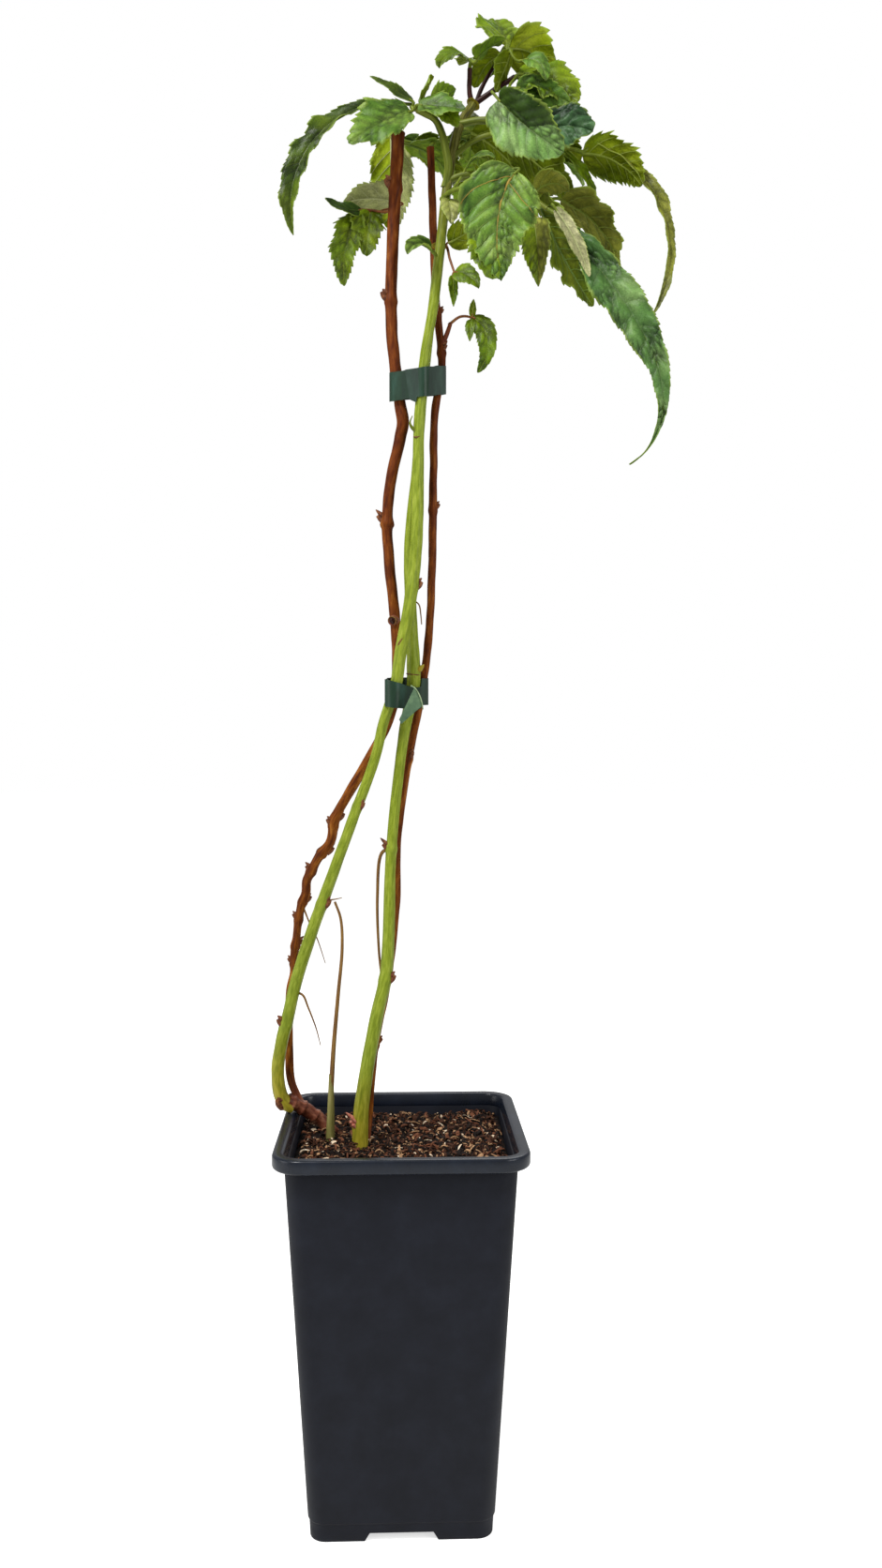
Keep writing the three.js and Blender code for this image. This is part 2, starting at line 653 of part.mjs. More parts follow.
const mass = ({ stem, leaves }, grow = 0) => {
  const twig = limb(stem, twigStart, twigEnd, { sides: 5, steps: 2 * stem.length - 2, grow });
  const bodies = leaves.flatMap((each) => [blade(each, grow), stalk(stem, each)]);
  return join([twig, ...bodies]);
};

// ---- Ties ---------------------------------------------------------------------------------------
// A tape drawn round the canes: the hull of their rings, with the same hull a size smaller cut out.
const makeTie = (middle, around) => {
  const hullOf = (clear, low, high) => {
    const points = [];
    for (const spec of around) {
      for (const share of [-0.5, -0.25, 0, 0.25, 0.5]) {
        const height = middle + share * tapeHeight;
        const centre = pointAtHeight(spec.points, height);
        const radius = radiusAt(spec, height) + clear;
        for (let k = 0; k < 12; k++) {
          const turn = (k * 30 + 15) * degrees;
          const x = centre.x + radius * Math.cos(turn);
          const y = centre.y + radius * Math.sin(turn);
          points.push(new THREE.Vector3(x, y, low), new THREE.Vector3(x, y, high));
        }
      }
    }
    return solidOf(new ConvexGeometry(points));
  };
  const low = middle - tapeHeight / 2;
  const high = middle + tapeHeight / 2;
  const outside = hullOf(tapeClear + tapeThick, low, high);
  return outside.subtract(hullOf(tapeClear, low - 5, high + 5));
};

// ---- The whole part -------------------------------------------------------------------------------
const canes = {
  cane_green_left: greenLeft,
  cane_green_middle: greenMiddle,
  cane_brown_left: brownLeft,
  cane_brown_right: brownRight,
};
const skins = { bough_side: bark };
const ground = blockAt([rimSide, rimSide, 2 * rootDepth], [0, 0, soilLevel - rootDepth]);
const limbs = [];
const addLimb = (name, solid, spec, material) => {
  addNode(name, cut(solid, [ground, ...limbs]), material);
  const steps = spec.steps ?? spec.points.length + 1;
  limbs.push(limb(spec.points, spec.start, spec.end, { sides: 12, steps, grow: limbClear }));
};

addNode("pot", makePot(), potPlastic);
const rising = [stump, youngShoot, greenMiddle, brownRight];
addNode("soil", makeSoil(rising), compost);
addLimb("stump", cane(stump), stump, bark);
for (const [name, spec] of Object.entries(canes)) {
  addLimb(name, cane(spec), spec, name.includes("green") ? greenSkin : bark);
}
addLimb("young_shoot", cane(youngShoot), youngShoot, greenSkin);
for (const [name, spec] of Object.entries(boughs)) {
  const solid = limb(spec.points, spec.start, spec.end, { steps: spec.points.length + 1, sides: 6 });
  addLimb(name, solid, spec, skins[name] ?? (name.startsWith("leader") ? darkSkin : greenSkin));
}
addNode("tie_lower", makeTie(565, Object.values(canes)), tape);
addNode("tie_upper", makeTie(783, Object.values(canes)), tape);
const grown = [...limbs];
for (const [name, spec] of Object.entries(masses)) {
  addNode(name, cut(mass(spec), grown), leafGreen);
  grown.push(mass(spec, 2 * gap));
}

// The part's own box is centred over the origin, to the nearest millimetre.
const middle = new THREE.Box3().setFromObject(plant).getCenter(new THREE.Vector3());
plant.position.set(-Math.round(middle.x), -Math.round(middle.y), 0);
const part = new THREE.Group();
part.add(plant);
export default part;
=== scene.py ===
# %% [markdown]
# # A raspberry cane in a nursery pot
# A young raspberry stands in a deep, square nursery pot of bark compost. Four tall canes are
# drawn together by two green tapes and carry a small crown of large, crinkled leaves. The CAD
# model gives every piece its place and size, and this lesson dresses it: first the camera and
# the light, then the pot, the compost, the canes and the tapes, and last the leaves.

# %% Load the frame
import math

import bmesh
import bpy
from mathutils import Matrix, Vector, noise


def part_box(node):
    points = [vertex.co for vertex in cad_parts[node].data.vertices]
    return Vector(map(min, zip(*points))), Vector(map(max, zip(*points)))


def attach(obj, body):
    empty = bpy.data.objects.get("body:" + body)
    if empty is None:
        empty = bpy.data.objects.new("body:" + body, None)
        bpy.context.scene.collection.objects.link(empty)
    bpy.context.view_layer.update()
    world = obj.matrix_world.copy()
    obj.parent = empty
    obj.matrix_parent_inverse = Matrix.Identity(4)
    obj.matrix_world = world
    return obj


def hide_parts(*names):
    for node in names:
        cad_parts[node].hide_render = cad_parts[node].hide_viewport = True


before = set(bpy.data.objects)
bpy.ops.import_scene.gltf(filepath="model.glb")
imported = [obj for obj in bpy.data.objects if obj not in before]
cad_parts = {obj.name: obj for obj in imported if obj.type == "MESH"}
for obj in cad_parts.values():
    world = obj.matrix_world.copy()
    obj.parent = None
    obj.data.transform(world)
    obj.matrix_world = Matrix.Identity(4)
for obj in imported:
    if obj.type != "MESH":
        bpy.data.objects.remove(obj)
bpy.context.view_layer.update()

# %% [markdown]
# The plant was laid out in millimetres from the middle of the pot's underside. Blender works
# in metres, so one small function turns such a place into the frame's own, and a second one
# turns it back. Uneven shapes come from a smooth noise, and from a rule that always deals out
# the same numbers for the same seed.

# %% Places
mm = 0.001
pot_low, pot_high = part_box("pot")
pot_middle = Vector(((pot_low.x + pot_high.x) / 2, (pot_low.y + pot_high.y) / 2, pot_low.z))


def at(point):
    return pot_middle + Vector(point) * mm


def local(place):
    """A place in millimetres from the middle of the pot's underside."""
    return (place - pot_middle) / mm


def random_from(seed):
    """Endless numbers between 0 and 1, the same ones for the same seed."""
    factor, prime = 16807, 2147483647
    state = seed
    while True:
        state = state * factor % prime
        yield state / prime


def wobble(x, y, z):
    """A smooth noise between -1 and 1."""
    return noise.noise(Vector((x, y, z)))


def bump(distance, width):
    """One at no distance, and falling away smoothly over the width."""
    return math.exp(-((distance / width) ** 2))


# %% [markdown]
# The camera stands straight in front of the pot, at half the height of the plant. It looks
# almost level, and is turned a little to the right, where the crown leans. A short lens takes
# in the whole plant from less than a metre away.

# %% Camera
camera_place = (-2, -864, 508.5)
turn_right, look_down = 2.0, 0.54
bpy.ops.object.camera_add(
    location=at(camera_place),
    rotation=(math.radians(90 - look_down), 0, math.radians(-turn_right)),
)
camera = bpy.context.object
camera.data.lens = 28
camera.data.sensor_width = 36
bpy.context.scene.camera = camera

# %% [markdown]
# Every finish is built the same way: a shader, a noise that stands for the wear or the grain,
# and a ramp that turns the noise into colours. Colours are read from a paint chart as hex
# values, so one function turns them into the linear light that the shader wants, and one
# helper adds a node with its settings and links.


# %% Colour and node helpers
def linear(hex_colour):
    """A paint chart's colour in linear light."""
    channels = [int(hex_colour[i : i + 2], 16) / 255 for i in (1, 3, 5)]
    return (*[c / 12.92 if c <= 0.04045 else ((c + 0.055) / 1.055) ** 2.4 for c in channels], 1)


def add_node(owner, kind, settings=None, links=None):
    """A new node of a material or the world, with its settings and what feeds its inputs."""
    node = owner.node_tree.nodes.new(kind)
    for name, value in (settings or {}).items():
        if name in node.inputs:
            node.inputs[name].default_value = value
        else:
            setattr(node, name, value)
    for name, socket in (links or {}).items():
        owner.node_tree.links.new(socket, node.inputs[name])
    return node


def node_of(material, kind):
    """The first node of a kind in a material."""
    return next(node for node in material.node_tree.nodes if node.type == kind)


def set_ramp(ramp_node, stops):
    """Gives a ramp its stops, and hands back its colour."""
    elements = ramp_node.color_ramp.elements
    while len(elements) < len(stops):
        elements.new(0.5)
    for element, (place, colour) in zip(elements, stops):
        element.position = place
        element.color = linear(colour)
    return ramp_node.outputs["Color"]


def grain_vector(material, grain_mm, stretch, follow):
    """Places measured in grains, on the piece itself or unrolled along its limb."""
    if follow:
        place = add_node(material, "ShaderNodeAttribute", {"attribute_name": "grain"}).outputs["Vector"]
        per_mm = 1
    else:
        place = add_node(material, "ShaderNodeTexCoord").outputs["Object"]
        per_mm = 1000
    scale = [per_mm * s / grain_mm for s in (1, 1, stretch)]
    return add_node(material, "ShaderNodeMapping", {"Scale": scale}, {"Vector": place}).outputs["Vector"]


def grained(
    name, stops, grain_mm, stretch=1, roughness=0.6, relief_mm=0.1, follow=False, gloss=0.2
):
    """A material whose colours run through the stops by a noise, with a relief to match.

    A stretch under 1 draws the grain out along Z, which is the way along the limb for a
    finish that follows one.
    """
    material = bpy.data.materials.new(name)
    material.use_nodes = True
    shader = material.node_tree.nodes["Principled BSDF"]
    shader.inputs["Roughness"].default_value = roughness
    shader.inputs["Specular IOR Level"].default_value = gloss
    vector = grain_vector(material, grain_mm, stretch, follow)
    cloudy = {"Scale": 1, "Detail": 5, "Roughness": 0.6}
    cloud = add_node(material, "ShaderNodeTexNoise", cloudy, {"Vector": vector}).outputs["Fac"]
    ramp = add_node(material, "ShaderNodeValToRGB", links={"Fac": cloud})
    material.node_tree.links.new(set_ramp(ramp, stops), shader.inputs["Base Color"])
    height = {"Strength": 1, "Distance": relief_mm * mm}
    relief = add_node(material, "ShaderNodeBump", height, {"Height": cloud})
    material.node_tree.links.new(relief.outputs["Normal"], shader.inputs["Normal"])
    return material


# %% [markdown]
# A picture for a catalogue is lit from all round with large, soft lamps, so that shadows are
# faint and edges keep a gentle sheen. An even sky fills the shadows, and the camera sees it as
# plain white. The floor is wide, white and dull. For the camera alone it is also lit up to
# white, so that it throws no more light at the pot.


# %% Light and floor
def soft_lamp(name, place, aim, size, power):
    """A round lamp turned to its aim, with its size in metres and its power in watts."""
    bpy.ops.object.light_add(type="AREA", location=at(place))
    lamp = bpy.context.object
    lamp.name = name
    lamp.data.shape = "DISK"
    lamp.data.size = size
    lamp.data.energy = power
    lamp.rotation_euler = (at(aim) - at(place)).to_track_quat("-Z", "Y").to_euler()


crown_aim, pot_aim = (40, 0, 800), (0, 0, 250)
soft_lamp("key", (-750, -850, 2050), crown_aim, 0.6, 32)
soft_lamp("fill", (1300, -1100, 1100), pot_aim, 0.9, 11)
soft_lamp("left", (-1500, -500, 600), pot_aim, 1.0, 6)
soft_lamp("back", (300, 1300, 1700), crown_aim, 1.2, 9)

world = bpy.context.scene.world or bpy.data.worlds.new("studio")
bpy.context.scene.world = world
world.use_nodes = True
white = (1, 1, 1, 1)
sky, output = world.node_tree.nodes["Background"], world.node_tree.nodes["World Output"]
sky.inputs["Color"].default_value = white
sky.inputs["Strength"].default_value = 0.45
backdrop = add_node(world, "ShaderNodeBackground", {"Color": white}).outputs[0]
seen = add_node(world, "ShaderNodeLightPath").outputs["Is Camera Ray"]
choice = add_node(world, "ShaderNodeMixShader", links={0: seen, 1: sky.outputs[0], 2: backdrop})
world.node_tree.links.new(choice.outputs[0], output.inputs["Surface"])
bpy.context.scene.view_settings.view_transform = "Standard"

bpy.ops.mesh.primitive_plane_add(size=60, location=(pot_middle.x, pot_middle.y, 0))
floor = bpy.context.object
floor.name = "floor"

# Matt white paint, with hardly a cloud in it: what the eye sees is an even, dull white.
floor_paint = grained("matt white paint", [(0, "#f4f4f2"), (1, "#f7f7f5")], 400, relief_mm=0)
floor_shader = floor_paint.node_tree.nodes["Principled BSDF"]
floor_shader.inputs["Emission Color"].default_value = white
floor_seen = add_node(floor_paint, "ShaderNodeLightPath").outputs["Is Camera Ray"]
glow = add_node(floor_paint, "ShaderNodeMapRange", {"To Max": 0.62}, {"Value": floor_seen})
floor_paint.node_tree.links.new(glow.outputs["Result"], floor_shader.inputs["Emission Strength"])
floor.data.materials.append(floor_paint)

# %% [markdown]
# A few helpers drive Blender's edit mode from code. Everything is deselected first, and faces
# and edges are then picked by where they are, as a maker would pick them by eye.


# %% Edit-mode helpers
def only(piece):
    bpy.ops.object.select_all(action="DESELECT")
    piece.select_set(True)
    bpy.context.view_layer.objects.active = piece


def edit(piece, kind="FACE"):
    only(piece)
    bpy.ops.object.mode_set(mode="EDIT")
    bpy.ops.mesh.select_mode(type=kind)
    bpy.ops.mesh.select_all(action="DESELECT")


def done():
    bpy.ops.object.mode_set(mode="OBJECT")


def pick(piece, kind, test):
    """Selects the faces, edges or verts for which the test is true, and returns how many."""
    bpy.ops.mesh.select_all(action="DESELECT")
    cage = bmesh.from_edit_mesh(piece.data)
    chosen = [part for part in getattr(cage, kind) if test(part)]
    for part in chosen:
        part.select = True
    cage.select_flush_mode()
    bmesh.update_edit_mesh(piece.data)
    return len(chosen)


def apply_all(piece):
    only(piece)
    bpy.ops.object.transform_apply(location=True, rotation=True, scale=True)


def add_modifier(piece, kind, **settings):
    modifier = piece.modifiers.new(kind.lower(), kind)
    for name, value in settings.items():
        setattr(modifier, name, value)
    only(piece)
    bpy.ops.object.modifier_apply(modifier=modifier.name)


def joined(name, pieces):
    bpy.ops.object.select_all(action="DESELECT")
    for piece in pieces:
        piece.select_set(True)
    bpy.context.view_layer.objects.active = pieces[0]
    if len(pieces) > 1:
        bpy.ops.object.join()
    whole = bpy.context.object
    whole.name = name
    return whole


def in_scene(name, data):
    """A new piece from a mesh or a curve."""
    piece = bpy.data.objects.new(name, data)
    bpy.context.scene.collection.objects.link(piece)
    return piece


def mesh_piece(name, points, faces):
    """A new piece from its corners, in the frame's own places, and its faces."""
    mesh = bpy.data.meshes.new(name)
    mesh.from_pydata(points, [], faces)
    return in_scene(name, mesh)


def smooth(piece, crisp=None):
    """Shades a piece smoothly, but for edges that bend more than a crisp angle in degrees."""
    only(piece)
    if crisp:
        bpy.ops.object.shade_smooth_by_angle(angle=math.radians(crisp))
    else:
        bpy.ops.object.shade_smooth()


def with_finish(piece, *finishes):
    for finish in finishes:
        piece.data.materials.append(finish)
    return piece


def finish_piece(piece, slot, *nodes):
    """Hangs a piece on the root body, and hides the parts of the frame that it takes the place of. Its slot
    is not used.
    """
    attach(piece, "root")
    if nodes:
        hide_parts(*nodes)
    print(piece.name, "faces:", len(piece.data.polygons))


# %% [markdown]
# ## The pot
# The pot is injection-moulded in black polypropylene: thin, slightly tapered walls with round
# corners, and a thick collar that the pot is carried by. The body is a cube drawn narrower at
# its foot, with its corners bevelled, its top opened and its wall given a thickness. Four feet
# are extruded from the corners of the underside.

# %% Pot body
rim_side, rim_height, rim_corner = 170, 9.5, 21
pot_height, top_side, foot_side = 260, 154, 124.6
wall, body_corner = 1.8, 12
foot_height, foot_length, foot_taper = 5.5, 41, 0.91
step_height, step_depth = 12, 0.8
rim_under = pot_height - rim_height


def block(name, size, middle):
    bpy.ops.mesh.primitive_cube_add(size=1, location=at(middle), scale=Vector(size) * mm)
    piece = bpy.context.object
    piece.name = name
    apply_all(piece)
    return piece


def is_upright(edge):
    """Whether an edge goes up a wall: over 5 mm tall, and hardly longer than it is tall."""
    a, b = (local(v.co) for v in edge.verts)
    return abs(a.z - b.z) > 5 and abs(edge.calc_length() / mm - abs(a.z - b.z)) < 8


def round_corners(piece, radius, segments):
    bpy.ops.mesh.select_mode(type="EDGE")
    pick(piece, "edges", is_upright)
    bpy.ops.mesh.bevel(offset=radius * mm, segments=segments, profile=0.5, affect="EDGES")


def pick_level(piece, way):
    """Selects the level faces: those that look up for a way of 1, or down for one of -1."""
    bpy.ops.mesh.select_mode(type="FACE")
    pick(piece, "faces", lambda face: face.normal.z * way > 0.9)


def cut_across(place, normal):
    """Cuts all faces along a plane."""
    bpy.ops.mesh.select_all(action="SELECT")
    bpy.ops.mesh.bisect(plane_co=place, plane_no=normal)


def soften(piece, width, segments):
    """Rounds the sharp edges of a moulding, to a width in millimetres."""
    sharp = math.radians(35)
    add_modifier(
        piece, "BEVEL", width=width * mm, segments=segments, limit_method="ANGLE", angle_limit=sharp
    )


body_height = rim_under + 0.5 - foot_height
body = block("pot", (top_side, top_side, body_height), (0, 0, foot_height + body_height / 2))
edit(body, "FACE")
pick_level(body, -1)
bpy.ops.transform.resize(value=(foot_side / top_side, foot_side / top_side, 1))
round_corners(body, body_corner, 7)
pick_level(body, 1)
bpy.ops.mesh.delete(type="ONLY_FACE")

# Planes cut the underside into nine, and a step goes round just above it.
opening = foot_side / 2 - foot_length
for axis in (0, 1):
    for side in (-1, 1):
        normal = Vector((0, 0, 0))
        normal[axis] = 1
        cut_across(pot_middle + normal * side * opening * mm, normal)
for height in (step_height, step_height + step_depth):
    cut_across(at((0, 0, height)), (0, 0, 1))
bpy.ops.mesh.select_mode(type="VERT")
pick(body, "verts", lambda vert: local(vert.co).z < step_height + 0.1)
inward = 1 - 2 * step_depth / foot_side
bpy.ops.transform.resize(value=(inward, inward, 1), center_override=at((0, 0, 0)))
done()


# %% Pot feet
def is_foot(face, x, y):
    place = local(face.calc_center_median())
    return face.normal.z < -0.9 and place.x * x > opening and place.y * y > opening


edit(body, "FACE")
for x in (-1, 1):
    for y in (-1, 1):
        pick(body, "faces", lambda face: is_foot(face, x, y))
        bpy.ops.mesh.extrude_region_move(TRANSFORM_OT_translate={"value": (0, 0, -foot_height * mm)})
        corner = at((x * foot_side * 0.46, y * foot_side * 0.46, 0))
        bpy.ops.transform.resize(value=(foot_taper, foot_taper, 1), center_override=corner)
done()
add_modifier(body, "SOLIDIFY", thickness=wall * mm, offset=-1)
soften(body, 0.5, 2)

# %% [markdown]
# The collar is a second cube with rounder corners. Its top and its underside are inset and
# opened, and a wall joins the two openings, so that it becomes a ring round the top of the
# body. Every edge gets a soft bevel, because a moulded edge is never sharp and catches a thin
# line of light.

# %% Pot collar
top_lip, under_lip = 7.8, 9.4
collar = block("collar", (rim_side, rim_side, rim_height), (0, 0, pot_height - rim_height / 2))
edit(collar, "EDGE")
round_corners(collar, rim_corner, 12)
for way, lip in ((1, top_lip), (-1, under_lip)):
    pick_level(collar, way)
    bpy.ops.mesh.inset(thickness=lip * mm)
    bpy.ops.mesh.delete(type="FACE")
bpy.ops.mesh.select_mode(type="EDGE")
pick(collar, "edges", lambda edge: edge.is_boundary)
bpy.ops.mesh.bridge_edge_loops()
done()
soften(collar, 1.7, 3)

# %% Drain holes
drain_hole, drain_place = 14, 40
drills = []
for x, y in ((0, 0), (1, 0), (0, 1), (-1, 0), (0, -1)):
    bpy.ops.mesh.primitive_cylinder_add(
        vertices=32,
        radius=drain_hole / 2 * mm,
        depth=4 * foot_height * mm,
        location=at((x * drain_place, y * drain_place, foot_height)),
    )
    drills.append(bpy.context.object)
drill = joined("drill", drills)
apply_all(drill)
add_modifier(body, "BOOLEAN", operation="DIFFERENCE", object=drill, solver="EXACT")
bpy.data.objects.remove(drill)

# Black moulded polypropylene: dull and slightly blue, with faint clouds and the fine grain of
# its mould. The collar is the same plastic, bluer and shinier where hands have rubbed it.
body_plastic = grained(
    "moulded black polypropylene",
    [(0.25, "#12141b"), (0.5, "#161820"), (0.8, "#1b1e27")],
    grain_mm=18,
    roughness=0.5,
    relief_mm=0.05,
    gloss=0.16,
)
collar_plastic = grained(
    "handled black polypropylene",
    [(0.25, "#0d121b"), (0.5, "#131924"), (0.8, "#1b222f")],
    grain_mm=14,
    roughness=0.27,
    relief_mm=0.05,
    gloss=0.32,
)
for piece, plastic in ((body, body_plastic), (collar, collar_plastic)):
    piece.data.materials.clear()
    with_finish(piece, plastic)
pot = joined("pot_shell", [body, collar])
smooth(pot, crisp=40)
finish_piece(pot, "pot", "pot")

# %% [markdown]
# ## The compost
# Potting compost is composted bark: a dark, uneven bed with curled flakes and splinters of many
# browns, and a few pale chips. The bed is a grid pushed up and down by noise and given a body
# down to the pot's floor. Each flake is a short strip with a curl. A seeded rule draws its
# size, its place and its tilt, and all the flakes of one colour become one mesh.

# %% Compost bed
soil_level, floor_top = 245, 7.9
slope = (top_side - foot_side) / 2 / (rim_under - foot_height)


def half_inside(height):
    """Half the pot's inner width at a height, with a little play."""
    return foot_side / 2 + slope * (height - foot_height) - wall - 0.6


bed_half = half_inside(soil_level)


def bed_height(x, y):
    """The level at a place: lumps and crumbs, two low heaps, and a border that falls away."""
    lumps = wobble(x / 9, y / 9, 3) * 2.2
    crumbs = wobble(x / 3.2, y / 3.2, 7) * 1.5
    heaps = 3 * bump(math.hypot(x - 58, y - 60), 34) + 2 * bump(math.hypot(x + 20, y - 62), 30)
    edge = max(abs(x), abs(y)) / bed_half
    return soil_level + heaps + (lumps + crumbs) - 3.5 * max(0, edge - 0.86) / 0.14


bed_cells = 90
bpy.ops.mesh.primitive_grid_add(
    x_subdivisions=bed_cells, y_subdivisions=bed_cells, size=2 * bed_half * mm, location=at((0, 0, 0))
)
bed = bpy.context.object
apply_all(bed)
edit(bed, "FACE")
bpy.ops.mesh.select_all(action="SELECT")
bpy.ops.mesh.extrude_region_move(TRANSFORM_OT_translate={"value": (0, 0, soil_level * mm)})
done()
shrink = half_inside(floor_top) / bed_half
corner_reach = bed_half * math.sqrt(2) - body_corner * 0.4
for vertex in bed.data.vertices:
    x, y, z = local(vertex.co)
    reach = min(1, corner_reach / max(math.hypot(x, y), 1))
    if z > 1:
        vertex.co = at((x * reach, y * reach, bed_height(x, y)))
    else:
        vertex.co = at((x * reach * shrink, y * reach * shrink, floor_top + 0.3))
smooth(bed)
# Rotted bark crumbs: nearly black, with brown specks, very dull and rough.
bed_bark = grained(
    "composted bark, fine",
    [(0.3, "#080503"), (0.48, "#150c08"), (0.62, "#26160e"), (0.8, "#3f281b")],
    grain_mm=2.6,
    roughness=0.9,
    relief_mm=0.8,
)
bed.name = "compost_bed"
finish_piece(with_finish(bed, bed_bark), "soil", "soil")

# %% Bark flakes
# Bark of five ages, from nearly rotten to freshly broken, each with a darker and a lighter
# colour and the number of its flakes. All of it is dull and fibrous.
flake_colours = {
    "dark": ("#0c0604", "#1a0e08", 1300),
    "brown": ("#2e180d", "#4a2b1a", 1100),
    "red": ("#4e2a19", "#7e4f36", 700),
    "tan": ("#8a6446", "#c19a72", 480),
    "pale": ("#cdae88", "#f2e4cc", 120),
}


def flake(length, width, thick, bend, chance):
    """The corners of a curled flake, four cells long and one wide, lying along X."""
    points = []
    for i in range(5):
        s = i / 4
        taper = 0.35 + 0.65 * math.sin(math.pi * (0.12 + 0.76 * s))
        narrow = width * taper * (0.75 + 0.5 * next(chance))
        x = (s - 0.5) * length
        lift = bend * (1 - (2 * s - 1) ** 2) + (next(chance) - 0.5) * 0.3 * width
        for side in (-0.5, 0.5):
            for up in (0, thick):
                points.append(Vector((x, side * narrow + (next(chance) - 0.5) * 0.2 * width, lift + up)))
    return points


# The two ends of a flake, and the four sides of each of its cells.
flake_faces = [(0, 1, 3, 2), (16, 18, 19, 17)]
for i in range(0, 16, 4):
    flake_faces += [
        (i, i + 2, i + 6, i + 4),
        (i + 1, i + 5, i + 7, i + 3),
        (i, i + 4, i + 5, i + 1),
        (i + 2, i + 3, i + 7, i + 6),
    ]

# Where the stems come up through the compost, and the room that each one has.
stems_at_soil = [(-53, 35, 10), (-51, 10, 5), (-29, -5, 8), (-18, 9, 6)]


def tumbled(chance):
    """A tip and a roll of less than a radian, and then a turn any way round."""
    tip = Matrix.Rotation((next(chance) - 0.5) * 1.5, 4, "Y")
    roll = Matrix.Rotation((next(chance) - 0.5) * 1.5, 4, "X")
    return Matrix.Rotation(next(chance) * 2 * math.pi, 4, "Z") @ (tip @ roll)


def scatter_flakes(name, count, seed):
    """A piece of many flakes on the bed, few of them long, and none where a stem comes up."""
    chance = random_from(seed)
    points, faces = [], []
    while len(faces) < count * len(flake_faces):
        x = (next(chance) * 2 - 1) * (bed_half - 3)
        y = (next(chance) * 2 - 1) * (bed_half - 3)
        length = 2 + 6.5 * next(chance) ** 2.4
        if any(math.hypot(x - sx, y - sy) < clear - 3 for sx, sy, clear in stems_at_soil):
            continue
        curl = length * (0.04 + 0.2 * next(chance))
        width = length * (0.14 + 0.3 * next(chance) ** 2)
        thick = 0.3 + 0.5 * next(chance)
        shape = flake(length, width, thick, curl, chance)
        turn = tumbled(chance)
        middle = Vector((x, y, bed_height(x, y) + 0.2 + next(chance) * 1.1))
        start = len(points)
        points += [at(middle + turn @ point) for point in shape]
        faces += [[start + corner for corner in face] for face in flake_faces]
    return mesh_piece(name, points, faces)


for seed, (tone, (dark, light, count)) in enumerate(flake_colours.items(), 11):
    flakes = scatter_flakes("bark_flakes_" + tone, count, seed)
    bark = grained("bark flake, " + tone, [(0.3, dark), (0.7, light)], 3, roughness=0.85, relief_mm=0.3)
    finish_piece(with_finish(flakes, bark), "soil")

# %% [markdown]
# ## Canes, boughs and twigs
# Anything that grows as a long round limb is drawn as a curve with a radius at every point,
# because that is how Blender makes a tube that tapers, and is then turned into a mesh. The mesh
# keeps its rings in order, so bark relief, swollen joints and ribs can be pressed into it ring
# by ring, and each corner is given its place on the unrolled bark, which the bark materials
# read: their streaks then follow the cane round every bend.


# %% Limb helpers
def curve_through(points):
    """Places close together on a smooth curve through the points."""
    knots = [Vector(point) for point in points]
    knots = [2 * knots[0] - knots[1], *knots, 2 * knots[-1] - knots[-2]]
    fine, parts = [], 16
    for a, b, c, d in zip(knots, knots[1:], knots[2:], knots[3:]):
        t1 = math.sqrt((b - a).length)
        t2 = t1 + math.sqrt((c - b).length)
        t3 = t2 + math.sqrt((d - c).length)
        for k in range(parts):
            t = t1 + (t2 - t1) * k / parts
            ab = a.lerp(b, t / t1)
            bc = b.lerp(c, (t - t1) / (t2 - t1))
            cd = c.lerp(d, (t - t2) / (t3 - t2))
            fine.append(ab.lerp(bc, t / t2).lerp(bc.lerp(cd, (t - t1) / (t3 - t1)), (t - t1) / (t2 - t1)))
    return [*fine, knots[-2]]


def smooth_route(points, step):
    """Evenly spaced places along a smooth curve through the points, in millimetres."""
    fine = curve_through(points)
    lengths = [0]
    for a, b in zip(fine, fine[1:]):
        lengths.append(lengths[-1] + (b - a).length)
    count = max(3, round(lengths[-1] / step))
    even, i = [], 0
    for k in range(count + 1):
        target = lengths[-1] * k / count
        while i < len(lengths) - 2 and lengths[i + 1] < target:
            i += 1
        span = max(lengths[i + 1] - lengths[i], 1e-6)
        even.append(fine[i].lerp(fine[i + 1], min(1, (target - lengths[i]) / span)))
    return even


def tubes(name, routes, resolution):
    """One mesh of round strands, each given as places with their radius."""
    curve = bpy.data.curves.new(name, "CURVE")
    curve.dimensions = "3D"
    curve.bevel_depth = 1
    curve.bevel_resolution = resolution
    curve.use_fill_caps = True
    for route in routes:
        line = curve.splines.new("POLY")
        line.points.add(len(route) - 1)
        for point, (place, radius) in zip(line.points, route):
            point.co = (*at(place), 1)
            point.radius = radius * mm
    only(in_scene(name, curve))
    bpy.ops.object.convert(target="MESH")
    bpy.ops.object.shade_smooth()
    return bpy.context.object


def limb(name, points, start, end, step=2.0, sides=16, relief=None):
    """A tapering tube. relief(along, angle, centre) is how far its skin stands out, in millimetres."""
    centres = smooth_route(points, step)
    last = len(centres) - 1
    radii = [start + (end - start) * i / last for i in range(last + 1)]
    piece = tubes(name, [list(zip(centres, radii))], sides // 2 - 2)
    length = step * last
    grain = piece.data.attributes.new("grain", "FLOAT_VECTOR", "POINT")
    for i, vertex in enumerate(piece.data.vertices):
        ring = min(i // sides, last)
        angle = 2 * math.pi * (i % sides) / sides
        along, radius = length * ring / last, radii[ring]
        grain.data[i].vector = (radius * math.cos(angle), radius * math.sin(angle), along)
        if relief:
            outward = (vertex.co - at(centres[ring])).normalized()
            vertex.co += outward * relief(along, angle, centres[ring]) * mm
    return piece


def point_at_height(points, height):
    return min(smooth_route(points, 1.5), key=lambda place: abs(place.z - height))
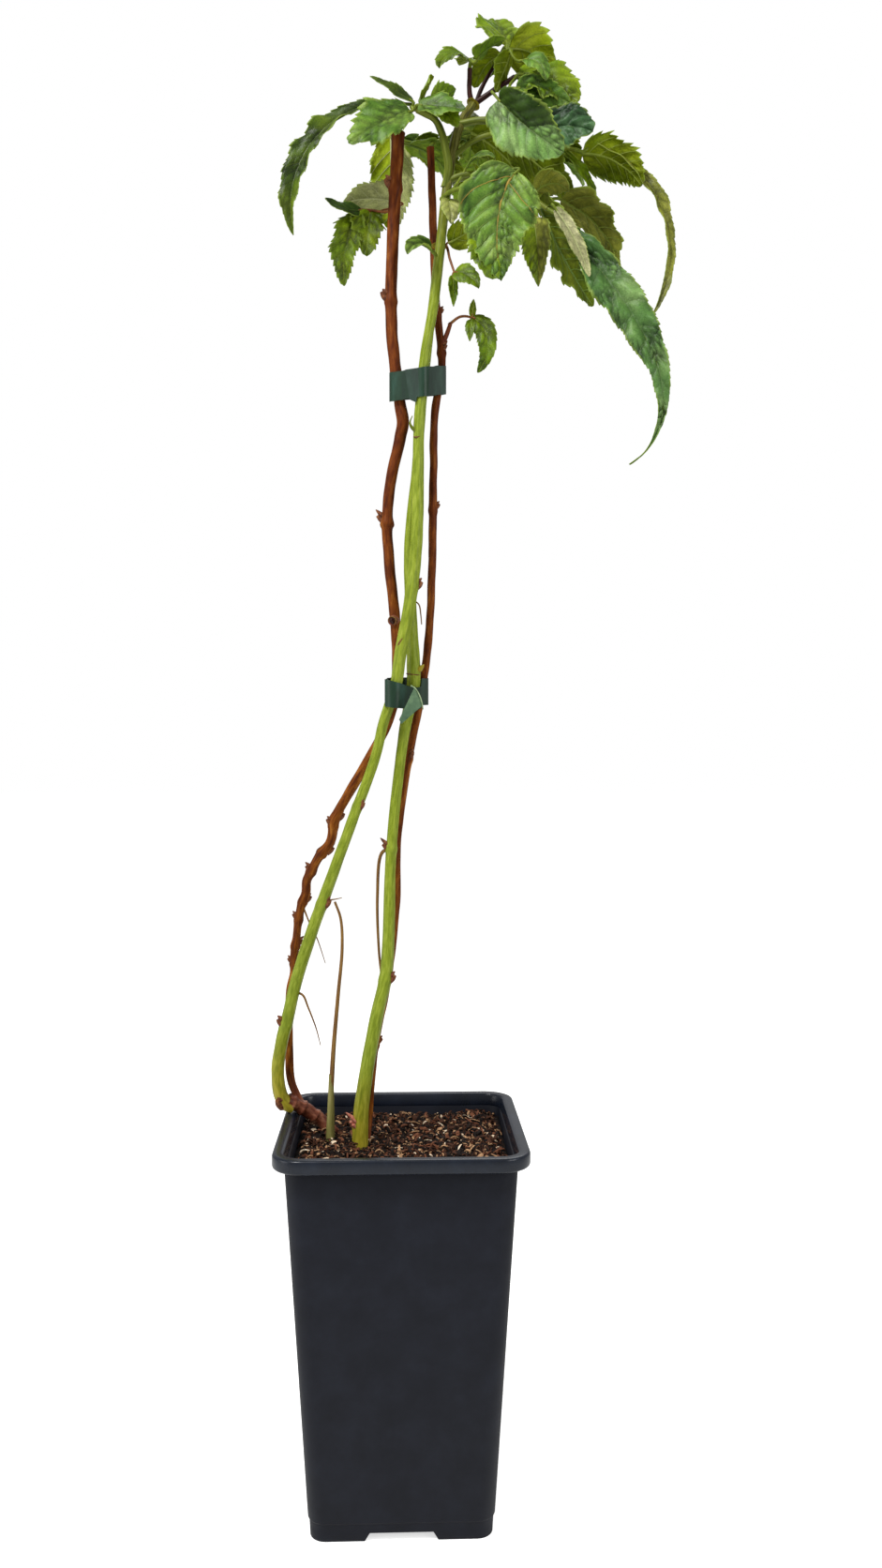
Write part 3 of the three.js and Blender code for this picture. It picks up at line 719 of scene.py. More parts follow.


# %% [markdown]
# A bud sits in the corner between the cane and the stub of last year's leaf stalk. It is a
# sphere drawn out to a point, and the stub is a short thick peg just below.


# %% Bud helper
def bud(cane_place, radius, side, length):
    """A bud and its stub on a cane of a radius, looking to a side in degrees."""
    direction = Vector((math.cos(math.radians(side)), math.sin(math.radians(side)), 0.9)).normalized()
    outward = Vector((direction.x, direction.y, 0)).normalized()
    root = cane_place + outward * radius * 0.55
    bpy.ops.mesh.primitive_uv_sphere_add(segments=14, ring_count=10, radius=1, location=(0, 0, 0))
    scale = bpy.context.object
    turn = direction.to_track_quat("Z", "Y").to_matrix()
    reach = length + radius * 0.5
    # The sphere becomes an egg with a point, widest below its middle and a little flat.
    for vertex in scale.data.vertices:
        x, y, z = vertex.co
        s = (z + 1) / 2
        width = radius * 0.62 * math.sqrt(max(0, 1 - (2 * s - 1) ** 2)) * (1.15 - 0.75 * s)
        ring = math.hypot(x, y) or 1
        shaped = Vector((x / ring * width, y / ring * width * 0.8, s * reach))
        vertex.co = at(root + turn @ shaped)
    smooth(scale)
    peg_points = [
        cane_place + outward * radius * 0.3 + Vector((0, 0, -radius * 0.9)),
        cane_place + outward * radius * 1.15 + Vector((0, 0, -radius * 0.35)),
        cane_place + outward * (radius * 1.3 + length * 0.25) + Vector((0, 0, radius * 0.3)),
    ]
    peg = limb("peg", peg_points, radius * 0.6, radius * 0.34, step=0.7, sides=10)
    return [scale, peg]


# %% Bark and skin finishes
def fade_along(material, start, end, stops):
    """Lets the colours run over into others along a limb, between two lengths in millimetres."""
    base = material.node_tree.nodes["Principled BSDF"].inputs["Base Color"]
    colour = base.links[0].from_socket
    grain = node_of(material, "ATTRIBUTE").outputs["Vector"]
    length = add_node(material, "ShaderNodeSeparateXYZ", links={"Vector": grain}).outputs["Z"]
    ends = {"From Min": start, "From Max": end}
    share = add_node(material, "ShaderNodeMapRange", ends, {"Value": length}).outputs["Result"]
    cloud = node_of(material, "TEX_NOISE").outputs["Fac"]
    other = set_ramp(add_node(material, "ShaderNodeValToRGB", links={"Fac": cloud}), stops)
    # The mix takes its share at input 0 and two colours at 6 and 7, and gives output 2.
    mixed = add_node(material, "ShaderNodeMix", {"data_type": "RGBA"}, {0: share, 6: colour, 7: other})
    material.node_tree.links.new(mixed.outputs[2], base)


# Young raspberry cane: smooth, waxy and yellow-green, with faint paler ribs along it. It is
# browner at its foot, and olive brown where it has begun to turn woody near the top.
green_skin = grained(
    "waxy green cane",
    [(0.24, "#5a6a0f"), (0.42, "#707f18"), (0.56, "#819026"), (0.76, "#9aa43e")],
    grain_mm=2,
    stretch=0.2,
    roughness=0.45,
    relief_mm=0.12,
    follow=True,
)
fade_along(green_skin, 70, 6, [(0.3, "#6a6610"), (0.5, "#928420"), (0.75, "#ad9a38")])
fade_along(green_skin, 600, 690, [(0.3, "#302e0c"), (0.5, "#575618"), (0.75, "#828040")])
# The green foot of the withered shoot is paler and duller.
shoot_skin = grained(
    "pale green shoot",
    [(0.3, "#6c6830"), (0.55, "#87824a"), (0.8, "#a39c68")],
    grain_mm=2.6,
    stretch=0.12,
    roughness=0.5,
    follow=True,
)
# The green boughs of the crown are duller and more olive than the canes.
bough_skin = grained(
    "olive green bough",
    [(0.28, "#363f08"), (0.42, "#535e10"), (0.58, "#717a24"), (0.75, "#999c50")],
    grain_mm=3.2,
    stretch=0.09,
    roughness=0.5,
    relief_mm=0.12,
    follow=True,
)
# Last year's cane: thin red-brown bark with orange weathering and fine cracks along it. It is
# pinker at its foot, and a little darker above its middle.
brown_bark = grained(
    "red-brown cane bark",
    [(0.27, "#240c02"), (0.42, "#552606"), (0.56, "#7a420e"), (0.74, "#ab702a")],
    grain_mm=2.8,
    stretch=0.16,
    roughness=0.55,
    relief_mm=0.2,
    follow=True,
    gloss=0.1,
)
fade_along(brown_bark, 30, 5, [(0.3, "#4a1d12"), (0.5, "#7a4230"), (0.75, "#9c6a50")])
fade_along(brown_bark, 280, 470, [(0.25, "#2c0e02"), (0.42, "#522207"), (0.58, "#6f370e"), (0.78, "#925a24")])
# The stump is older, darker and redder wood.
stump_wood = grained(
    "old red-brown stump",
    [(0.3, "#35160c"), (0.48, "#5f2f1e"), (0.62, "#84503a"), (0.75, "#a27656")],
    grain_mm=4,
    stretch=0.5,
    roughness=0.4,
    relief_mm=0.3,
    follow=True,
)
# A bud that is about to open: soft pink scales.
bud_pink = grained(
    "pink bud scale",
    [(0.3, "#8a4636"), (0.55, "#b4705c"), (0.8, "#dba690")],
    grain_mm=2,
    roughness=0.5,
    relief_mm=0.2,
)
# A leader and the inside of a cut shoot: smooth, dark purple, with a faint streak along it.
dark_skin = grained(
    "dark purple young stem",
    [(0.3, "#1c0704"), (0.55, "#33120a"), (0.8, "#4f2516")],
    grain_mm=2.4,
    stretch=0.1,
    roughness=0.45,
    relief_mm=0.1,
    follow=True,
)
# The scales of a sleeping bud: dry, dull and brown, like thin paper.
bud_scale = grained(
    "dry brown bud scale",
    [(0.3, "#3d2013"), (0.55, "#6f4026"), (0.8, "#9a6a3f")],
    grain_mm=2,
    roughness=0.6,
    relief_mm=0.2,
)
# A leaf stalk or shoot that has died: straw brown, with a dull, stringy skin.
dead_stalk = grained(
    "withered leaf stalk",
    [(0.3, "#56361d"), (0.55, "#7c5a2c"), (0.8, "#9c8040")],
    grain_mm=2,
    stretch=0.1,
    roughness=0.6,
    relief_mm=0.1,
    follow=True,
)

# %% Cane routes
# A cane has places along its middle, (height, radius) steps, a finish, and buds or joints as
# (height, side in degrees, length). Heights are above the ground.
canes = {
    "cane_green_left": {
        "points": [
            (-79.5, 29.5, 264.3), (-84, 28, 266.8), (-88, 26.5, 274), (-89.8, 25, 292), (-86.4, 21, 314),
            (-82, 18.5, 331), (-75.5, 14, 358), (-63, 6, 397), (-54.2, 2.5, 421), (-37, -6, 468),
            (-17.5, -9, 522), (-13, -11, 542), (-4, -13.5, 569), (-1, -14, 589), (5.2, -14, 622),
            (10.5, -12, 668), (13, -10, 760), (16.5, -9, 800), (22.5, -8.5, 833), (35, -7, 937),
            (42, -3, 965), (51, 1.5, 981),
        ],
        "radii": [
            (264, 5.2), (272, 5.1), (290, 4.5), (330, 4.4), (400, 4.1), (450, 3.6), (500, 3.3),
            (545, 3.3), (580, 4.1), (640, 4.2), (700, 3.9), (760, 3.4), (800, 2.9), (835, 3.2),
            (880, 3.1), (981, 2.9),
        ],
        "finish": green_skin,
        "buds": [(270, 240, 2.5), (329, 190, 4), (417, -30, 4), (487, -40, 3), (640, 10, 4)],
    },
    "cane_green_middle": {
        "points": [
            (-29.2, -5.2, 238), (-28, -4, 273), (-17, -2, 338), (-11, 0, 365), (-7, 2, 458), (1, 0, 530),
            (3.2, 1, 543), (6, 1, 556), (8.5, 0, 570), (8.5, -1, 591), (7, -1, 620), (6, -1, 670),
            (11, 0, 723), (16, 1, 783), (27, 0, 880),
        ],
        "radii": [
            (238, 5.8), (262, 5.6), (300, 4.8), (365, 4.3), (456, 3.5), (530, 3.4), (565, 4.4), (585, 4.8),
            (600, 4.0), (650, 3.6), (700, 3.2), (783, 3), (880, 2.4),
        ],
        "finish": green_skin,
        "buds": [(364, -10, 4), (456, 200, 7)],
    },
    "cane_brown_left": {
        "points": [
            (-73, 32.5, 264), (-76.8, 34, 271), (-80, 35, 278), (-82, 36, 287), (-82.5, 35.5, 304),
            (-82.3, 33, 325), (-81.8, 31, 347), (-78.6, 30, 362), (-78.1, 29.5, 373),
            (-76.4, 28, 388), (-75.3, 27, 398), (-72.8, 26, 411), (-69.3, 25, 421),
            (-68.6, 24.5, 430), (-65, 23, 437), (-59.8, 21, 447), (-50.8, 18, 459), (-48.2, 16, 474),
            (-43.7, 14, 483), (-7, 0, 551), (-3, 1, 591), (-10, 3, 684), (-7, 2, 717),
            (-0.5, 1, 746), (1, 0, 755), (-1, 0, 770), (-7, 0, 829), (-2, 0, 959),
        ],
        "radii": [
            (268, 3.1), (340, 2.8), (404, 3), (430, 3.3), (447, 3.5), (500, 3.6), (560, 3.6), (620, 4),
            (700, 4.1), (740, 4.3), (757, 4.8), (775, 4.5), (850, 4.6), (959, 5),
        ],
        "finish": brown_bark,
        "buds": [
            (372, 190, 3), (385, 10, 4), (404, 180, 3), (417, 20, 3), (440, 185, 4), (453, 0, 5),
            (474, 200, 3), (478, 20, 3), (690, 185, 6), (845, 200, 3), (924, 190, 4),
        ],
    },
    "cane_brown_right": {
        "points": [
            (-25, 8, 238), (-19, 8.5, 310), (-9.5, 11.5, 360), (-3.5, 13, 417), (-3, 13, 457),
            (3, 12, 505), (19, 9, 598), (23, 9, 720), (24, 9, 765), (29, 8, 800), (25, 9, 845), (21, 10, 954),
        ],
        "radii": [(238, 2.5), (310, 2.6), (420, 3.2), (954, 2.8)],
        "finish": brown_bark,
        "buds": [(317, 10, 3), (522, -60, 3), (700, 10, 3), (812, -40, 4), (838, 10, 3)],
    },
}


def cane_radius(spec, height):
    """How thick a cane is at a height, from its list of heights and radii."""
    steps = spec["radii"]
    for (low, thin), (high, thick) in zip(steps, steps[1:]):
        if height <= high:
            return thin + (thick - thin) * max(0, height - low) / (high - low)
    return steps[-1][1]


# %% Canes
def cane_relief(spec, seed, usual):
    """Its changing thickness, its ribs and unevenness, and a swollen ring at every joint."""
    knots = [(point_at_height(spec["points"], height), length) for height, _, length in spec["buds"]]
    woody = spec["finish"] is brown_bark
    rough, ribbed, swollen = (0.3, 0.1, 0.3) if woody else (0.12, 0.2, 0.12)

    def relief(along, angle, centre):
        ribs = math.sin(5 * angle + along / 90) * ribbed
        wander = wobble(math.cos(angle) * 1.2, math.sin(angle) * 1.2, along / 14 + seed) * rough * 2
        rings = sum(swollen * length * bump((centre - place).length, 2.8) for place, length in knots)
        return cane_radius(spec, centre.z) - usual + ribs + wander + rings

    return relief


def grown_cane(name, spec, seed):
    """A cane with its buds, cut off level just under the face of the compost."""
    usual = spec["radii"][0][1]
    shaft = limb(name, spec["points"], usual, usual, 1.5, 24, cane_relief(spec, seed, usual))
    parts = [with_finish(shaft, spec["finish"])]
    for height, side, length in spec["buds"]:
        pieces = bud(point_at_height(spec["points"], height), cane_radius(spec, height), side, length)
        parts += [with_finish(piece, bud_scale) for piece in pieces]
    cane = joined(name, parts)
    edit(cane, "VERT")
    bpy.ops.mesh.select_all(action="SELECT")
    level = at((0, 0, soil_level - 1.5))
    bpy.ops.mesh.bisect(plane_co=level, plane_no=(0, 0, 1), clear_inner=True, use_fill=True)
    done()
    return cane


for seed, (name, spec) in enumerate(canes.items(), 1):
    slot = "green_skin" if spec["finish"] is green_skin else "bark"
    finish_piece(grown_cane(name + "_bark", spec, seed), slot, name)

# %% [markdown]
# A few single things mark the canes. A short green spur with a dry hooked tip stands on the
# left green cane, above a scar. The middle one has a brown joint with a green scale and a small
# dry bud. On the left brown one is the round end of a side shoot that was cut away.


# %% Spur, joint and cut shoot
def hoop(centre, radius, way, thick):
    """A thin ring round a place, square to a way."""
    turn = Vector(way).to_track_quat("Z", "Y").to_matrix()
    angles = [math.radians(30 * k) for k in range(13)]
    points = [Vector(centre) + turn @ Vector((math.cos(a), math.sin(a), 0)) * radius for a in angles]
    return limb("hoop", points, thick, thick, 0.6, 8)


def spur_knob(along, angle, centre):
    """A knot at 12 mm along the spur."""
    return 1.3 * bump(along - 12, 2.6)


spur_points = [
    (12.6, -9.5, 741.5), (10, -11.5, 745.5), (6.6, -13, 750.5), (6.2, -13.2, 752.5), (7.8, -13.4, 756.5)
]
spur = with_finish(limb("green_spur", spur_points, 1.3, 0.3, 0.8, 12, spur_knob), bough_skin)
scar = limb("scar", [(8.8, -12.8, 742.2), (10.8, -14, 741.6), (13, -13.7, 742.3)], 0.6, 0.5, 0.8, 8)
finish_piece(joined("green_spur", [spur, with_finish(scar, dead_stalk)]), "green_skin")

middle_points = canes["cane_green_middle"]["points"]
joint_scale, peg = bud(point_at_height(middle_points, 580), 4.8, -25, 5)
bpy.data.objects.remove(peg)
joint_line = with_finish(hoop((8.5, -0.5, 578), 4.75, (0.1, -0.12, 1), 0.4), bud_scale)
small_bud_points = [(-2.4, -15.6, 595), (-1.2, -17.5, 598.5), (0.8, -18.4, 601.5)]
small_bud = with_finish(limb("small_bud", small_bud_points, 1.2, 0.3, 0.7, 10), dead_stalk)
joint = [joint_line, with_finish(joint_scale, green_skin), small_bud]
finish_piece(joined("cane_joint", joint), "bark")

cut_way, cut_place = (-0.45, -1, -0.35), (-6.3, -4, 615.4)
stub = limb("cut_shoot", [(-4.9, 1.5, 616), (-5.5, -1.5, 615.8), cut_place], 4.3, 3.4, 0.8, 20)
cut_rim = with_finish(hoop(cut_place, 2.9, cut_way, 0.45), dead_stalk)
bpy.ops.mesh.primitive_uv_sphere_add(segments=20, ring_count=12, radius=1, location=(0, 0, 0))
cut_heart = with_finish(bpy.context.object, dark_skin)
for vertex in cut_heart.data.vertices:
    uneven = 1 + 0.3 * noise.noise(vertex.co * 2)
    vertex.co = at(Vector(cut_place) + vertex.co * 2.7 * uneven + Vector(cut_way) * -1.2)
cut_shoot = [with_finish(stub, brown_bark), cut_rim, cut_heart]
finish_piece(joined("cut_shoot", cut_shoot), "bark")

# %% Pink bud
pink_buds = []
for height, side, length in ((262, 200, 10), (260, 222, 7)):
    pink_buds += bud(point_at_height(middle_points, height), 3.8, side, length)
finish_piece(with_finish(joined("pink_bud", pink_buds), bud_pink), "bark")

# %% [markdown]
# The two canes on the left grow from a lying stump, thick as a finger and marked with rings. A
# young shoot has come up through the compost and withered above its green foot, and a few
# thin dead stalks still hang from the canes.


# %% Stump, shoot and withered stalks
def stump_relief(along, angle, centre):
    """Ringed segments, each a little thicker at its upper end."""
    rings = sum(0.9 * bump(along - place, 1.1) for place in (16, 27, 38, 46))
    swell = 0.5 * ((along - 5) % 11) / 11
    return rings + swell + wobble(math.cos(angle), math.sin(angle), along / 6) * 0.8


stump_points = [
    (-45.8, 36, 238.5), (-58, 34.5, 251), (-69.5, 32.5, 260.5), (-78.5, 30, 266.5), (-83, 28.5, 269)
]
stump = limb("stump_bark", stump_points, 4.6, 4.9, 0.8, 24, stump_relief)
finish_piece(with_finish(stump, stump_wood), "bark", "stump")

shoot_foot = limb("shoot_foot", [(-51, 10, 238), (-50.4, 8.2, 268), (-50, 7, 293)], 3.6, 1.7, 1.2, 16)
stalk_points = [
    (-50.2, 7.6, 280), (-48.3, 6, 312), (-45, 4.4, 350), (-42, 3, 384), (-43, 1.5, 405), (-47, 0, 417)
]
shoot_stalk = limb("shoot_stalk", stalk_points, 1.9, 0.9, 1.5, 10)
shoot = [with_finish(shoot_foot, shoot_skin), with_finish(shoot_stalk, dead_stalk)]
finish_piece(joined("young_shoot_skin", shoot), "green_skin", "young_shoot")

# Each withered stalk: its points, its first and last radius, and its sides.
withered = [
    ([(-8, 2, 455), (-14, 4, 451), (-17, 5, 421), (-16, 6, 382), (-14, 5, 362)], 1.3, 0.9, 8),
    ([(-74, 15, 350), (-70.5, 13, 348.5), (-67, 13.5, 340), (-61.4, 14, 325), (-58, 14, 312)], 0.9, 0.3, 6),
    ([(-71, 25, 410), (-66, 23, 398), (-61, 22, 388), (-55, 22, 370)], 0.7, 0.25, 6),
    ([(-52, 1, 418), (-46, 0, 419), (-42, -1, 420)], 0.7, 0.3, 6),
    ([(9, -1, 630), (12.5, -2, 627), (13.8, -2, 620), (14.4, -2, 613)], 0.6, 0.4, 6),
]
stalks = [limb("withered", points, start, end, 1.5, sides) for points, start, end, sides in withered]
finish_piece(with_finish(joined("withered_stalks", stalks), dead_stalk), "bark")

# %% Boughs
# Each bough's places, and its first and last radius.
boughs = {
    "leader_left": ([(51, 2, 980), (48.5, 1, 988), (48.5, 0, 1005)], 2, 1.6),
    "leader_middle": ([(53, 3, 982), (57, 3, 993), (71, 4, 1018)], 1.6, 1.1),
    "leader_right": ([(54, 2, 983), (66, -1, 990), (80, -5, 997)], 1.9, 1.7),
    "bough_left": (
        [(31, -8, 918), (33, -11, 930), (31, -12, 942), (28, -12, 954), (23, -12, 963), (11, -12, 969)],
        2.8, 2.2,
    ),
    "bough_right": ([(42, -4, 964), (54, -9, 964), (74, -15, 960)], 2.6, 2),
    "bough_arch": (
        [(36, -7, 939), (50, -12, 948), (62, -15, 951), (80, -11, 953), (123, -10, 944)],
        1.8, 1.4,
    ),
    "bough_droop": ([(32, -6, 921), (44, 8, 932), (58, 11, 935), (76, 7, 930), (90, 0, 920)], 2.1, 1.6),
    "bough_long": (
        [(32, -8, 922), (46, -12, 925), (68, -14, 922), (88, -17, 909), (101, -23, 897)],
        2.2, 1.7,
    ),
    "bough_rear": ([(46, -1, 971), (51, 12, 979), (66, 44, 985)], 2.3, 1.7),
    "bough_side": ([(28, 8, 811), (32, 6, 819), (35, 4, 827)], 2, 1.5),
}
bough_finishes = {"leader": (dark_skin, "dark_skin"), "bough": (bough_skin, "green_skin")}


def bough_relief(along, angle, centre):
    """Faint ribs, an uneven skin, and a swollen foot where a bough leaves its cane."""
    foot = 0.7 * bump(along, 3) if centre.z < 975 else 0
    return math.sin(4 * angle + 0.6) * 0.14 + foot + 0.4 * noise.noise(centre / 6)


for name, (points, start, end) in boughs.items():
    piece = limb(name + "_skin", points, start, end, 1.2, 16, bough_relief)
    finish, slot = bough_finishes[name.split("_")[0]]
    if name == "bough_side":
        finish, slot = brown_bark, "bark"
    finish_piece(with_finish(piece, finish), slot, name)

# %% [markdown]
# ## Tapes
# Each tie is a soft plastic tape drawn tightly round the canes. It is a ribbon that follows
# the outline of the four canes, once round and on over its own start, and is then given a
# thickness. The lower one is crossed over, so a folded tail stands out in front.


# %% Tape finishes
# Soft polyethylene tape: bottle green, smooth, with a wide soft shine and faint stretch marks.
tape_plastic = grained(
    "soft green plastic tape",
    [(0.3, "#13231b"), (0.5, "#1b3126"), (0.75, "#2b4638")],
    grain_mm=9,
    stretch=0.25,
    roughness=0.38,
    relief_mm=0.12,
    gloss=0.4,
)
# A darker, bluer green: the lower tape's own colour, and painted shade on the stretches of the upper tape
# that are bent out of the light.
darker_tape_and_painted_shade = grained(
    "soft green plastic tape, darker green and painted shade",
    [(0.3, "#10241b"), (0.5, "#16301f"), (0.75, "#25463a")],
    grain_mm=9,
    stretch=0.25,
    roughness=0.4,
    relief_mm=0.12,
    gloss=0.3,
)
# The folded tail shows the dull, grey-green back of the tape.
back_stops = [(0.3, "#3c5440"), (0.55, "#526c50"), (0.8, "#708866")]
tape_back = grained("dull back of the tape", back_stops, 9, roughness=0.5)
# Along the fold the tape is stretched thin and turns pale.
tape_edge = grained("stretched pale tape", [(0.3, "#6d8460"), (0.7, "#9fb088")], 4, roughness=0.4)

# The steps of one winding, and those in which the last layer lifts off and the end slants.
tape_steps = 90
lift_steps, slant_steps = 14, 12
tape_thickness = 0.45


# %% Tape helpers
def cane_ring(height, clear):
    """Places round all four canes at a height, as seen from above."""
    places = []
    for spec in canes.values():
        centre = point_at_height(spec["points"], height)
        radius = cane_radius(spec, height) + clear
        for k in range(36):
            angle = math.radians(k * 10)
            places.append((centre.x + radius * math.cos(angle), centre.y + radius * math.sin(angle)))
    return places


def outline(places):
    """The convex outline of flat places, anticlockwise."""
    ordered = sorted(set(places))

    def chain(walk):
        kept = []
        for p in walk:
            while len(kept) > 1:
                (ax, ay), (bx, by) = kept[-2], kept[-1]
                if (bx - ax) * (p[1] - ay) - (by - ay) * (p[0] - ax) > 0:
                    break
                kept.pop()
            kept.append(p)
        return kept[:-1]

    return chain(ordered) + chain(ordered[::-1])


def even_loop(places, count):
    """Evenly spaced places round a closed, flat outline."""
    loop = places + places[:1]
    lengths = [0]
    for a, b in zip(loop, loop[1:]):
        lengths.append(lengths[-1] + math.dist(a, b))
    even, i = [], 0
    for k in range(count):
        target = lengths[-1] * k / count
        while lengths[i + 1] < target:
            i += 1
        t = (target - lengths[i]) / (lengths[i + 1] - lengths[i])
        even.append([loop[i][j] + (loop[i + 1][j] - loop[i][j]) * t for j in (0, 1)])
    return even


def ribbon(name, rows, finishes, shade=None):
    """A sheet through rows of places, one row for each step along the tape."""
    wide = len(rows[0])
    points = [at(place) for row in rows for place in row]
    faces = []
    for i in range(len(rows) - 1):
        for j in range(wide - 1):
            a = i * wide + j
            faces.append((a, a + wide, a + wide + 1, a + 1))
    piece = with_finish(mesh_piece(name, points, faces), *finishes)
    if shade:
        for i, polygon in enumerate(piece.data.polygons):
            polygon.material_index = shade(i // (wide - 1))
    add_modifier(piece, "SOLIDIFY", thickness=tape_thickness * mm, offset=0)
    smooth(piece, crisp=40)
    return piece


def tape_course(middle, way):
    """The outline of the canes that a tape follows, its centre, and where the tape ends."""
    loop = even_loop(outline(cane_ring(middle, way["clear"])), tape_steps)
    centre = [sum(place[j] for place in loop) / tape_steps for j in (0, 1)]
    front = [i for i in range(tape_steps) if loop[i][1] < centre[1]]
    end = min(front, key=lambda i: abs(loop[i][0] - way["end_x"]))
    return loop, centre, end


def flat_place(course, way, k):
    """A place seen from above, at a step of the winding or between two."""
    loop, centre, end = course
    last = tape_steps + way["steps_on"] - 1
    i = (end - way["turn"] * (last - k)) % tape_steps
    a, b = loop[int(i)], loop[(int(i) + 1) % tape_steps]
    x, y = (a[j] + (b[j] - a[j]) * (i % 1) for j in (0, 1))
    lift = way["lift"] * min(1, max(0, k - tape_steps + lift_steps) / lift_steps)
    out = 1 + lift / math.dist((x, y), centre)
    return centre[0] + (x - centre[0]) * out, centre[1] + (y - centre[1]) * out


def wound_tape(name, middle, height, **way):
    """A tape that winds once round and some steps on over its start, to its end at the front.

    - clear, lift: how far it lies off the canes, and its last layer off the one before
    - tilt, lean: how far it rises to the right and to the back, for each millimetre
    - dip: the place, the depth and the width of a dip in front
    - turn, steps_on, end_x: which way it winds, how many steps on, and where it ends
    - slant, corner: how far its end slants, and how far, and over how many steps, it hangs
    - finishes, shaded: its materials, and the stretches (layer, from, to) that take the second one as painted
      shade
    """
    course = tape_course(middle, way)
    loop, centre, _ = course
    last = tape_steps + way["steps_on"] - 1
    slant = way["slant"] / math.dist(loop[0], loop[1])
    dip_place, dip_depth, dip_width = way["dip"]
    hang, hang_steps = way["corner"]

    # Painted shade: the stretches in front that are bent out of the light take the second finish.
    def shade(k):
        x, y = flat_place(course, way, k + 0.5)
        layer = int(k > last - way["steps_on"])
        return int(y < centre[1] and any(layer == one and low < x < high for one, low, high in way["shaded"]))

    def row(k):
        near_end = max(0, 1 - (last - k) / slant_steps)
        corner = hang * (0.2 + 0.8 * (last - k) / hang_steps) if last - k <= hang_steps else 0
        places = []
        for j in range(5):
            low = 1 - j / 4
            x, y = flat_place(course, way, k - slant * low * near_end)
            sag = way["tilt"] * (x - centre[0]) + way["lean"] * (y - centre[1])
            sag += 0.35 * wobble(k / 4, middle, 0) + 0.25 * wobble(k / 6, j, 5)
            if y < centre[1]:
                sag -= dip_depth * bump(x - dip_place, dip_width) * (1 - 0.65 * low)
            places.append((x, y, middle + sag + height * (j / 4 - 0.5) - corner * low))
        return places

    return ribbon(name, [row(k) for k in range(last + 1)], way["finishes"], shade)


def tail_row(s):
    """Five places across the folded tail, at a share of the way down it."""
    left, width = 9 - 10.5 * s, 6 - 4.4 * s
    top, drop = 567 - 22 * s, 12 - 9 * s
    out = -22.5 - 1.6 * math.sin(math.pi * s)
    return [(left + width * t, out, top - drop * t) for t in (0, 0.25, 0.5, 0.75, 1)]


# %% Tapes
# Two stretches of the upper tape's front take the darker finish as painted shade.
upper_tape = wound_tape(
    "tape_upper", 783.5, 20.3,
    end_x=3.4, turn=-1, steps_on=40, slant=3.2, corner=(3.6, 5), shaded=((0, -20, 8), (1, 11.6, 18.8)),
    clear=0.8, tilt=0.15, lean=0.27, lift=1.5, dip=(0, 0, 1), finishes=(tape_plastic, darker_tape_and_painted_shade),
)
finish_piece(upper_tape, "tape", "tie_upper")

lower_tape = wound_tape(
    "tape_lower", 565.5, 19,
    end_x=8.3, turn=1, steps_on=26, slant=-5, corner=(0, 1), shaded=(),
    clear=2, tilt=-0.02, lean=0.13, lift=1.1, dip=(11, 6, 13), finishes=(darker_tape_and_painted_shade, darker_tape_and_painted_shade),
)
tail = ribbon("tape_tail", [tail_row(k / 12) for k in range(13)], [tape_back])
lower_tape = joined("tape_lower", [lower_tape, tail])
finish_piece(lower_tape, "tape", "tie_lower")

fold_points = [
    (6.5, -22, 568.5), (9.6, -22.8, 566.5), (12.6, -23.5, 561.5), (14.4, -23.6, 556), (15, -22.8, 552)
]
tape_fold = limb("tape_fold", fold_points, 0.45, 0.35, 0.8, 8)
finish_piece(with_finish(tape_fold, tape_edge), "tape")

# %% [markdown]
# ## Leaves
# A raspberry leaf is a thin sheet that is quilted between its side veins, folded a little along
# its midrib and cut into forward-pointing teeth. Each one starts as a flat grid. Its rows follow
# a midrib that sets out one way and droops another, its columns spread to the width that the
# leaf has there, and the outermost columns are drawn out into teeth. The veins are fine tubes
# through the sheet, so that they stand out on both of its sides.


# %% Leaf measures
# What the measures say of a leaf:
# - roll, twist: how far it is banked at its base, and how much further at its tip, in degrees
# - hook: how late it bends, over 1 for late and under 1 for early
# - fold, unfold: how many degrees each half stands up, and the share that is lost by the tip
# - curl, lean: how far the margins bend down, and how far they are swept forward
# - taper, belly: how soon it narrows, and how far from its base it is widest
# - quilt, crumple, wave: the height of its blisters, of its broad swells and of its ripples
# - teeth, cut, ragged: millimetres to a tooth, how deep the teeth are, how uneven the margin
# - marked_veins: how many veins, from the midrib on, stand out in amber
usual_leaf = {
    "roll": 0, "twist": 0, "hook": 1, "fold": 14, "unfold": 0, "curl": 0.14, "lean": 0.25,
    "taper": 0.7, "belly": 0.6, "quilt": 0.55, "crumple": 0.07, "wave": 0.14,
    "teeth": 4.5, "cut": 1, "ragged": 0.16, "marked_veins": 0,
}
# The side veins sweep forward by a share of the way out to the margin, and in a bow.
vein_sweep, vein_bow = 0.84, 1.2
# The sheet's grid, in rows to a tooth and millimetres to a column, and its thickness.
rows_per_tooth, column_width = 5, 0.9
blade_thickness = 0.45


def leaf(place, way, size, tone, **bends):
    """A leaf: its base, (heading, rise, fall[, swing]) in degrees, (length, width) in millimetres."""
    heading, rise, fall, swing = (*way, 0)[:4]
    own = {"place": place, "heading": heading, "rise": rise, "fall": fall, "swing": swing}
    return usual_leaf | own | {"length": size[0], "width": size[1], "tone": tone} | bends


